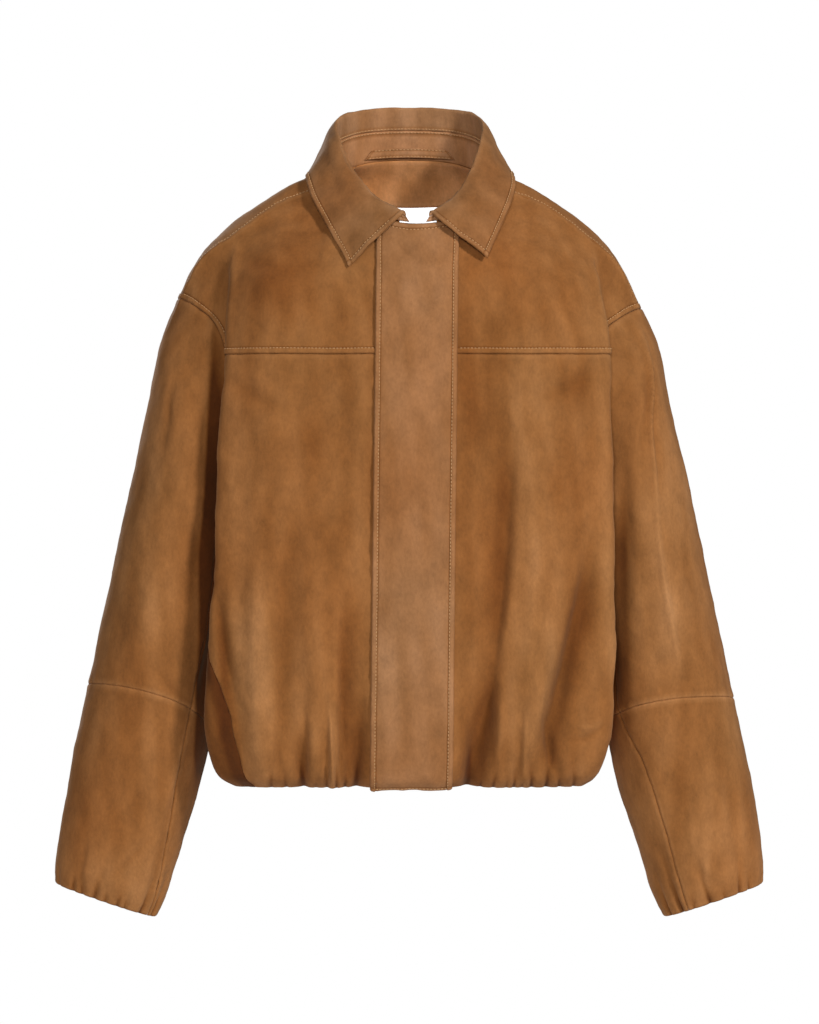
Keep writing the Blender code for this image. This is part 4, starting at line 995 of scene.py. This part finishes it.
# Paler along the elbow seam: partly rubbed nap, partly a painted highlight on the raised turning.
ELBOW_RUBBED_AND_HIGHLIGHT, ELBOW_PALER_REACH = 0.30, 2.4
SLEEVE_LEAN, SLEEVE_AXIS_X, SLEEVE_AXIS_Z = 0.19, 199.5, -231.0
SIDE_LEAN, SIDE_Z = 0.043, -216.0           # of the body's side, where the sleeve meets it
Shade = namedtuple("Shade", "dark near far starts ends")
SHADE_BESIDE = {            # how dark, between what reaches from the centre, and levels
    -1: Shade(1.3, 184.0, 190.5, (-10.0, 35.0), (370.0, 440.0)),
    1: Shade(0.4, 192.0, 200.0, (90.0, 170.0), (330.0, 400.0)),
}
BOTH_SLEEVES = each(Crease, [      # angle and level of three points, width, height
    (250, 30, 262, 70, 258, 120, 6.0, -2.2), (320, 120, 312, 170, 318, 230, 7.0, 1.8),
    (230, 300, 262, 322, 300, 318, 6.0, -2.4), (225, 372, 258, 384, 290, 380, 5.0, -2.0),
    (270, 420, 262, 450, 268, 486, 5.0, -1.8), (178, 250, 184, 300, 176, 345, 6.0, 2.0),
])
RIGHT_CREASES = BOTH_SLEEVES + each(Crease, [
    (122, 458, 104, 474, 88, 492, 2.6, -1.8), (128, 372, 120, 420, 126, 470, 5.0, 2.2),
    (64, 30, 58, 70, 62, 130, 5.0, -0.6), (134, 180, 126, 250, 132, 330, 6.0, 2.0),
    (60, 470, 64, 484, 60, 500, 4.0, -1.4), (84, 300, 96, 320, 118, 332, 6.0, -1.2),
])
LEFT_CREASES = BOTH_SLEEVES + each(Crease, [
    (26, 10, 66, 56, 72, 165, 2.8, 3.6), (42, 30, 78, 64, 84, 145, 6.0, -1.2),
    (72, 140, 84, 235, 76, 338, 3.0, 2.0), (88, 160, 96, 240, 92, 330, 7.0, -1.4),
    (96, 60, 104, 130, 98, 200, 8.0, -1.8), (88, 470, 92, 486, 98, 502, 3.4, 1.8),
    (60, 400, 54, 440, 60, 476, 8.0, -1.6),
])
RIGHT_CUFF = each(Pinch, [
    (24, 12, 3, 3.0, 1.0), (53, 16, 5, 3.0, 1.6), (66, 10, -3, 2.6, 1.5), (80, 20, 6, 3.0, 1.9),
    (91, 9, -2, 2.4, 1.5), (103, 14, 4, 2.8, 1.8), (112, 9, -3, 2.4, 1.4), (134, 22, 4, 3.2, 2.2),
    (158, 20, -3, 3.4, 2.2),
])
LEFT_CUFF = each(Pinch, [
    (18, 12, -3, 3.2, 1.0), (47, 10, 3, 2.6, 1.4), (62, 20, -6, 2.8, 1.9), (80, 9, 3, 2.4, 1.2),
    (94, 24, 7, 3.0, 2.2), (112, 10, -3, 2.6, 1.4), (128, 30, 4, 3.2, 2.6),
    (150, 20, -2, 3.2, 2.4),
])
HIDDEN_CUFF = each(Pinch, [
    (184, 40, 4, 4.0, 2.8), (206, 24, -3, 3.2, 2.4), (228, 46, 5, 4.2, 3.0),
    (249, 22, -2, 3.2, 2.4), (268, 34, 4, 3.6, 2.8), (290, 26, -4, 3.4, 2.4),
    (312, 42, 5, 4.0, 2.8), (336, 24, 2, 3.4, 2.2),
])
CUFF = {-1: RIGHT_CUFF + HIDDEN_CUFF, 1: LEFT_CUFF + HIDDEN_CUFF}


def armhole(side, angle):
    """Points of the armhole seam; angle in degrees, from the top round the front."""
    steps, over_steps = 60, 8
    down = np.linspace(0.0, UNDERARM_LEVEL, steps)
    ridge = BACK_SHOULDER[0][0]
    front = body(np.full(steps, float(side)), down)
    back_side = 1.0 + 1e-9 if side > 0 else 3.0
    over = body(np.full(over_steps, back_side), np.linspace(ridge, 0.0, over_steps))[:-1]
    up = body(np.full(steps, back_side), np.linspace(UNDERARM_LEVEL, ridge, steps))
    loops = []
    for half in (np.concatenate([over, front]), up):
        length = running_lengths(half[None])[0]
        loops.append((half, length / length[-1]))
    turn = np.mod(angle, 360.0) / 180.0
    turn = np.where(np.isclose(angle, 360.0), 2.0, turn)
    result = np.zeros((len(turn), 3))
    for number, (half, share) in enumerate(loops):
        chosen = (turn >= number) & (turn <= number + 1)
        result[chosen] = point_at(turn[chosen] - number, share, half).T
    return result


def sleeve(side, angle, level):
    """The sleeve's surface: angle from the outside (0) round the front (90)."""
    turn = np.radians(angle)
    cos, sin = np.cos(turn), np.sin(turn)
    across = np.sign(cos) * np.abs(cos) ** (2 / RING_POWER)
    forward = np.sign(sin) * np.abs(sin) ** (2 / RING_POWER)
    rings = [armhole(side, angle)]
    for ring in SLEEVE:
        x = (ring.out_x + ring.in_x) / 2 + across * (ring.out_x - ring.in_x) / 2
        z = (ring.out_z + ring.in_z) / 2 + across * (ring.out_z - ring.in_z) / 2
        y = ring.middle_y - forward * ring.depth / 2
        rings.append(np.stack([side * x, y, z], axis=1))
    knots = np.array([0.0] + [ring.level for ring in SLEEVE])
    return curve(knots, np.stack(rings, axis=1), level)


def sleeve_painted_shade(side, angle, level, points):
    """Painted shade: darker in the pinches of the cuff, and where the sleeve lies against the body
    in its shadow.
    """
    shade = SHADE_BESIDE[side]
    from_centre = side * points[..., 0] + SIDE_LEAN * (points[..., 2] - SIDE_Z)
    beside = (1 - ramp(from_centre, shade.near, shade.far)) * ramp(level, *shade.starts)
    beside *= 1 - ramp(level, *shade.ends)
    dark = painted_pinch_shade(np.mod(angle, 360.0), level, CUFF_LEVEL, CUFF[side])
    return dark - shade.dark * beside


def sleeve_height(side, angle, level, points):
    """Height of the folds and creases of a sleeve and of the pinches in its cuff."""
    height = np.zeros(angle.shape)
    turned = np.mod(angle, 360.0)
    for centre, start, end, width, rise in SLEEVE_FOLDS:
        middle, reach = (start + end) / 2, (end - start) / 2
        lean = centre + SLEEVE_FOLD_LEAN * side * (level - middle) / reach
        along = np.exp(-(((level - middle) / (SLEEVE_FOLD_TAPER * reach)) ** 2))
        height += rise * along * np.exp(-(((turned - lean) / width) ** 2))
    height *= ramp(level, 0.0, ARMHOLE_CALM)
    height += creased(turned, level, RIGHT_CREASES if side < 0 else LEFT_CREASES)
    height += pinched(turned, level, CUFF_LEVEL, CUFF[side])
    return height + SLEEVE_WAVER * unevenness(points, SLEEVE_WAVER_SIZE, 64 + side)


def cut_sleeve_piece(side, hand, part, half):
    """The top or under piece of a sleeve, above the elbow (upper) or below it (lower)."""
    upper = part == "upper"
    low, high = (0.0, ELBOW_LEVEL) if upper else (ELBOW_LEVEL, CUFF_LEVEL)
    column = 1 if side < 0 else 2       # of the two seams' tables

    def places(s, t):
        front = np.mean([
            from_table(FRONT_SLEEVE_SEAM, low + t * (high - low) + SEAM_ROUNDED * step, column)
            for step in (-2, -1, 0, 1, 2)
        ], axis=0)
        start, end = BACK_SLEEVE_SEAM - 360.0, front
        if half == "under":
            start, end = front, BACK_SLEEVE_SEAM
        angle = start + (end - start) * s
        elbow = ELBOW_LEVEL + np.mean([
            from_table(ELBOW_SEAM, np.mod(angle + ELBOW_ROUNDED * step, 360.0), column)
            for step in (-2, -1, 0, 1, 2)
        ], axis=0)
        first, last = (0.0, elbow) if upper else (elbow, CUFF_LEVEL)
        return angle, first + t * (last - first)

    def piece_at(s, t):
        return sleeve(side, *places(s, t))

    def piece_height(s, t, points):
        return sleeve_height(side, *places(s, t), points)

    # Painted shade of the sleeve, and the paler line of the elbow seam.
    def piece_painted_light_and_wear(s, t, points):
        from_elbow = (high - low) * (1 - t if upper else t)
        # the elbow seam's paler line: rubbed nap and a painted highlight
        rubbed = ELBOW_RUBBED_AND_HIGHLIGHT * np.exp(-((from_elbow / ELBOW_PALER_REACH) ** 2))
        return sleeve_painted_shade(side, *places(s, t), points) + rubbed

    def within_sleeve(points):
        centre = side * (SLEEVE_AXIS_X - SLEEVE_LEAN * (points[..., 2] - SLEEVE_AXIS_Z))
        return np.stack([centre, 0 * centre - 4, points[..., 2]], axis=-1)

    piece = cut(f"sleeve_{part}_{half}_{hand}_suede", f"sleeve_{part}_{half}_{hand}", piece_at,
                edged(PLAIN, PLAIN, PLAIN, PLAIN if upper else GATHERED), step=(1.9, 3.6),
                height=piece_height, shade_and_wear=piece_painted_light_and_wear, inside=within_sleeve,
                still=("top",) if upper else (),
                hangs=None if upper else (side * SLEEVE_LEAN, 0, -0.98))


for side, hand in HANDS:
    for part in ("upper", "lower"):
        for half in ("top", "under"):
            cut_sleeve_piece(side, hand, part, half)

# ---- Collar --------------------------------------------------------------------------
# A shirt collar of double suede: a stand sewn up from the neck seam, and a fall that turns
# over it and ends in two points. Two rows of thread hold the seam between them.
Collar = namedtuple(
    "Collar", "at roll_x roll_y roll_z out forward down edge_x edge_y edge_z follow"
)
COLLAR = each(Collar, [
    (0.00, 0, 67, 67.5, 7.5, 0, 6.0, 0, 91, -4, 0.0),
    (0.20, 48, 57, 64, 7.0, 0, 6.0, 56, 84, -5, 0.0),
    (0.38, 69, 20, 51, 6.5, 0, 5.0, 95, 38, -5, 0.0),
    (0.52, 67, -14, 31, 6.5, 0, 3.0, 99, -8, -5, 0.1),
    (0.70, 53, -42, -4, 7.5, 3, 1.5, 96, -40, -25, 0.4),
    (0.86, 36, -60, -27, 7.0, 4, 2.5, 83, -67, -55, 0.7),
    (1.00, 12, -75, -43, 7.0, 5.5, 5.5, 65, -94, -94, 1.0),
])
COLLAR_FOLLOW_X, COLLAR_LEFT_LIFT, NECK_END = 7.5, 8.0, 0.957
ACROSS_AT = np.array([0.0, 0.30, 0.44, 0.52, 0.74, 1.0])
STAND_SHARE, FALL_SHARE, STAND_FOOT, STAND_TOP = 0.62, 0.45, -0.02, 0.27
COLLAR_CLEARANCE, COLLAR_REACH, SEATED_FROM = 0.8, 200.0, 0.35
CLOTH_COLUMNS, CLOTH_ROWS = 241, 81
COLLAR_WAVER, COLLAR_WAVER_SIZE, ROLL_PALER = 0.9, 34, 0.36
# The second colour is painted light: the stand and the hanger loop are coloured paler than the
# fall, to stand in for light inside the neck.
COLLAR_TAN, STAND_TAN_PAINTED_LIGHT = (0.275, 0.118, 0.040), (0.430, 0.200, 0.085)
COLLAR_EDGE = Edge(1.5, 5.0, 0.45, 0.0, 0.25, STITCH_STEPS)
STAND_SEAM = Edge(1.2, 2.6, 0.2, 0.4, 0.15, CLOSE_STEPS)


def neckline(s):
    """Points of the neck seam, from the right front end (-1) round the back to the left (1)."""
    place = np.abs(s) * NECK_END
    half = COLUMN_AT[NECK_COLUMN]
    behind = place <= 0.5
    u = np.where(behind, place * 2 * half, (1 - place) * 2 * half)
    side = np.where(s < 0, -1.0, 1.0)
    return body(np.where(behind, 2 - side * u, side * u), np.zeros(len(s)))


def collar_rows(side):
    """Rows of four points of one side: the roll line, its turn, the fall and its edge."""
    rows = []
    for place, row in enumerate([COLLAR[1]] + COLLAR):
        way = side if place else -side
        shift = COLLAR_FOLLOW_X * row.follow
        lift = COLLAR_LEFT_LIFT * row.at**3 if side > 0 and place else 0.0
        roll = np.array([way * row.roll_x + shift, row.roll_y, row.roll_z])
        edge = np.array([way * row.edge_x + shift, row.edge_y, row.edge_z + lift])
        level = (edge - roll) * (1, 1, 0)
        level = level / np.linalg.norm(level)
        turn = roll + row.out * level - (0, row.forward, row.down)
        rows.append([roll, turn, turn + FALL_SHARE * (edge - turn), edge])
    return np.array(rows)


def collar(s, across):
    """The collar's surface: s from the right front end (-1) to the left (1), across from
    the neck seam (0) over the roll line (0.44) to the outer edge (1)."""
    knots = np.array([-COLLAR[1].at] + [row.at for row in COLLAR])
    neck = neckline(s)
    result = np.zeros((len(s), 3))
    for side in (-1, 1):
        rows = collar_rows(side)
        chosen = (s < 0) == (side < 0)
        place = np.abs(s[chosen])
        columns = [neck[chosen]]
        for c in range(rows.shape[1]):
            points = np.broadcast_to(rows[None, :, c], (len(place), len(knots), 3))
            columns.append(curve(knots, points, place))
        columns.insert(1, columns[0] + STAND_SHARE * (columns[1] - columns[0]))
        result[chosen] = curve(ACROSS_AT, np.stack(columns, axis=1), across[chosen])
    return result


def stand_at(s, t):
    return collar(2 * s - 1, STAND_FOOT + t * (STAND_TOP - STAND_FOOT))


def fall_at(s, t):
    return collar(2 * s - 1, STAND_TOP + t * (1 - STAND_TOP))


def within_collar(points):
    """A place inside the neck, a little below each point."""
    return points * (0.2, 0.2, 1.0) - (0, 0, 40)


a, level = np.meshgrid(np.linspace(-1, 3, CLOTH_COLUMNS),
                       np.linspace(0, COLLAR_REACH, CLOTH_ROWS))
cloth = body(a.ravel(), level.ravel()).reshape(*a.shape, 3)
cloth_out = faces_out(cloth, within_body, 1).reshape(-1, 3)
cloth = cloth.reshape(-1, 3)
finder = KDTree(len(cloth))
for number, place in enumerate(cloth):
    finder.insert(place, number)
finder.balance()


def rest_on_body(points, out, rise, half):
    """Keep the collar's underside clear of the body that it lies on."""
    lower = points + out * (rise - 2 * half)[..., None]
    moved = points.copy()
    for row in range(math.ceil(SEATED_FROM * len(points)), len(points)):
        for column in range(points.shape[1]):
            nearest = finder.find(lower[row, column])[1]
            height = (lower[row, column] - cloth[nearest]) @ cloth_out[nearest]
            if height < COLLAR_CLEARANCE:
                moved[row, column] += cloth_out[nearest] * (COLLAR_CLEARANCE - height)
    return moved, rise


def collar_height(s, t, points):
    return COLLAR_WAVER * unevenness(points, COLLAR_WAVER_SIZE, 66) * ramp(t, 0.4, 0.65)


def collar_dust(s, t, points):
    """The fall is rubbed paler where it rolls over the stand."""
    return ROLL_PALER * (1 - ramp(t, 0.16, 0.34))


stand = cut("stand", "collar_stand", stand_at, base=STAND_TAN_PAINTED_LIGHT, step=(2.4, 2.4),
            thickness=DOUBLE_SUEDE, inside=within_collar, showing=-1,
            edges=edged(COLLAR_EDGE, COLLAR_EDGE, HIDDEN, STAND_SEAM))
fall = cut("fall", "collar_fall", fall_at, base=COLLAR_TAN, step=(2.2, 2.2), height=collar_height,
           thickness=DOUBLE_SUEDE, inside=within_collar, seat=rest_on_body, shade_and_wear=collar_dust,
           edges=edged(COLLAR_EDGE, COLLAR_EDGE, STAND_SEAM, COLLAR_EDGE))
stand_thread = sew("stand_stitches", [thread_line(stand, "bottom", 2.4, (4.0, 4.0))])
fall_thread = sew("fall_stitches", [
    thread_line(fall, "top", 2.4, (4.0, 4.0)),
    thread_line(fall, "bottom", 5.2, (5.0, 5.0)),
    thread_line(fall, "start", 5.2, (26.0, 5.0)),
    thread_line(fall, "end", 5.2, (26.0, 5.0)),
])

# ---- Inside the neck -----------------------------------------------------------------
# A shaped facing covers the neck seam behind. A short hanger loop is sewn above it, and a
# blank white label hangs below it.
FACING_LEVEL, FACING_REACH = 57.0, 14 / 44      # how far down, and each way in columns
LINING_DEPTH, FACING_THICKNESS = 2.7, 1.2
# This colour of the facing is painted light: about twice as pale as the suede outside, to stand in
# for light that reaches inside the neck.
INSIDE_TAN_PAINTED_LIGHT = (0.600, 0.262, 0.098)
LABEL_HALF, LABEL_TALL, LABEL_THICKNESS, LABEL_BELOW = 29.0, 39.4, 0.6, 0.6
LOOP_HALF_TOP, LOOP_HALF_BOTTOM, LOOP_TOP_Z, LOOP_BOTTOM_Z = 36.0, 43.0, 27.0, 17.5
LOOP_GAP, LOOP_SAG, LOOP_DROP = 0.8, 3.0, 2.4
LOOP_THICKNESS, LOOP_REACH = 1.6, 0.3
LOOP_KNOTS = np.linspace(-1, 1, 81)


def facing_at(s, t):
    return body(2 + FACING_REACH * (2 * s - 1), t * FACING_LEVEL)


def lining_height(s, t, points):
    return back_height(s, t * FACING_LEVEL / HEM_LEVEL, points)


def label_height(s, t, points):
    return back_height(s, 0 * t, points)


facing = cut("facing", "back_neck_facing", facing_at, base=INSIDE_TAN_PAINTED_LIGHT,
             lift=LINING_DEPTH, thickness=FACING_THICKNESS, showing=-1, height=lining_height,
             still=("top",), edges=edged(HIDDEN, HIDDEN, HIDDEN, PLAIN))

columns_per_mm = COLUMN_AT[1] / NECK_BACK[1][0]


def label_at(s, t):
    middle = 2 - CLOSURE_X * columns_per_mm
    a = middle + LABEL_HALF * columns_per_mm * (2 * s - 1)
    return body(a, FACING_LEVEL + LABEL_BELOW + t * LABEL_TALL)


white = plain_material("label_cloth", (0.95, 0.94, 0.92), 0.75)
# Painted light: the label glows a little, so that it reads white deep in the shaded neck.
set_inputs(white.node_tree.nodes["Principled BSDF"], {      # reads white deep in the neck
    "Emission Color": (1.0, 1.0, 1.0, 1.0), "Emission Strength": 0.9,
})
label = cut("label", "neck_label", label_at, all_round(HIDDEN), white,
            step=(4.0, 4.0), lift=LINING_DEPTH, thickness=LABEL_THICKNESS, showing=-1,
            height=label_height)


def stand_face(x, z):
    """How far back the inner face of the collar stand is, at x and z."""
    across = np.linspace(0.0, STAND_TOP, 12)
    crossings = []
    for s in np.linspace(-LOOP_REACH, LOOP_REACH, 25):
        face = collar(np.full(len(across), s), across)
        crossings.append([np.interp(z, face[:, 2], face[:, axis]) for axis in (0, 1)])
    crossings = np.array(crossings)
    return np.interp(x, crossings[:, 0], crossings[:, 1])


loop_top = stand_face(LOOP_KNOTS * LOOP_HALF_TOP, LOOP_TOP_Z)
loop_bottom = stand_face(LOOP_KNOTS * LOOP_HALF_BOTTOM, LOOP_BOTTOM_Z)


def loop_at(s, t):
    share = 2 * s - 1
    half = LOOP_HALF_TOP + t * (LOOP_HALF_BOTTOM - LOOP_HALF_TOP)
    face = (1 - t) * np.interp(share, LOOP_KNOTS, loop_top)
    face += t * np.interp(share, LOOP_KNOTS, loop_bottom)
    y = face - LOOP_GAP - LOOP_SAG * (1 - share**2) - LOOP_THICKNESS
    z = LOOP_TOP_Z + t * (LOOP_BOTTOM_Z - LOOP_TOP_Z) - LOOP_DROP * (share**2 - 0.4)
    return np.stack([share * half, y, z], axis=1)


LOOP_EDGE = Edge(0.8, 2.0, 0.1, 0.0, 0.1, CLOSE_STEPS)
loop = cut("loop", "hanger_loop", loop_at, base=STAND_TAN_PAINTED_LIGHT, step=(2.0, 2.0),
           thickness=LOOP_THICKNESS, inside=within_collar, showing=-1,
           edges=all_round(LOOP_EDGE))
loop_thread = sew("loop_stitches", [
    thread_line(loop, "top", 2.0, (3.0, 3.0)),
    thread_line(loop, "bottom", 2.0, (3.0, 3.0)),
])

# ---- Camera, light and floor ---------------------------------------------------------
# A level camera stands square to the front, 4.5 m away at the jacket's middle height. The
# key lamp is high at the wearer's left, another is near the camera, a weak one fills the
# right side, and one behind lights the edges. The floor is a pale disc below the hem.
CAMERA_DISTANCE, CAMERA_HEIGHT, SEEN_HEIGHT = 4.5, -0.323, 0.9728
camera = bpy.data.objects.new("camera", bpy.data.cameras.new("camera"))
bpy.context.scene.collection.objects.link(camera)
camera.location = (0.0, -CAMERA_DISTANCE, CAMERA_HEIGHT)
camera.rotation_euler = (math.radians(90), 0.0, 0.0)
camera.data.sensor_fit = "AUTO"
camera.data.lens = camera.data.sensor_width * CAMERA_DISTANCE / SEEN_HEIGHT
camera.data.clip_end = 60.0
bpy.context.scene.camera = camera

Lamp = namedtuple("Lamp", "name at to size power")
LAMPS = [                   # placed at, turned to, size, power
    Lamp("key", (2.6, -3.0, 1.8), (0.0, 0.0, -0.3), 0.6, 128),
    Lamp("front", (-0.3, -5.4, 0.7), (0.0, 0.0, -0.35), 0.8, 102),
    Lamp("right_fill", (-2.8, -2.6, 0.0), (0.0, 0.0, -0.35), 1.4, 12),
    Lamp("behind", (-1.6, 4.4, 1.4), (0.0, 0.0, -0.35), 1.4, 140),
]
for lamp in LAMPS:
    light = bpy.data.lights.new(lamp.name, "AREA")
    light.shape, light.size = "SQUARE", lamp.size
    light.energy = lamp.power
    thing = bpy.data.objects.new(lamp.name, light)
    bpy.context.scene.collection.objects.link(thing)
    thing.location = lamp.at
    aim = Vector(lamp.to) - Vector(lamp.at)
    thing.rotation_euler = aim.to_track_quat("-Z", "Y").to_euler()

LIT_BY_BACKDROP, SEEN_BACKDROP = 0.12, 1.0
world = bpy.data.worlds.new("studio")
world.use_nodes = True
nodes, links = world.node_tree.nodes, world.node_tree.links
backdrop = nodes["Background"]
set_inputs(backdrop, {"Color": (1.0, 1.0, 1.0, 1.0)})
seen = nodes.new("ShaderNodeLightPath")
strength = nodes.new("ShaderNodeMapRange")
set_inputs(strength, {"To Min": LIT_BY_BACKDROP, "To Max": SEEN_BACKDROP})
links.new(seen.outputs["Is Camera Ray"], strength.inputs["Value"])
links.new(strength.outputs["Result"], backdrop.inputs["Strength"])
bpy.context.scene.world = world
bpy.context.scene.view_settings.view_transform = "Standard"

FLOOR_Z, FLOOR_RADIUS = -0.93, 1.0
floor_mesh = bpy.data.meshes.new("floor")
rim = [2 * math.pi * k / 64 for k in range(64)]
floor_mesh.from_pydata(
    [(FLOOR_RADIUS * math.cos(turn), FLOOR_RADIUS * math.sin(turn), FLOOR_Z) for turn in rim],
    [], [tuple(range(64))],
)
floor_mesh.materials.append(plain_material("pale_floor", (0.85, 0.85, 0.85), 0.9))
floor = bpy.data.objects.new("floor", floor_mesh)
bpy.context.scene.collection.objects.link(floor)
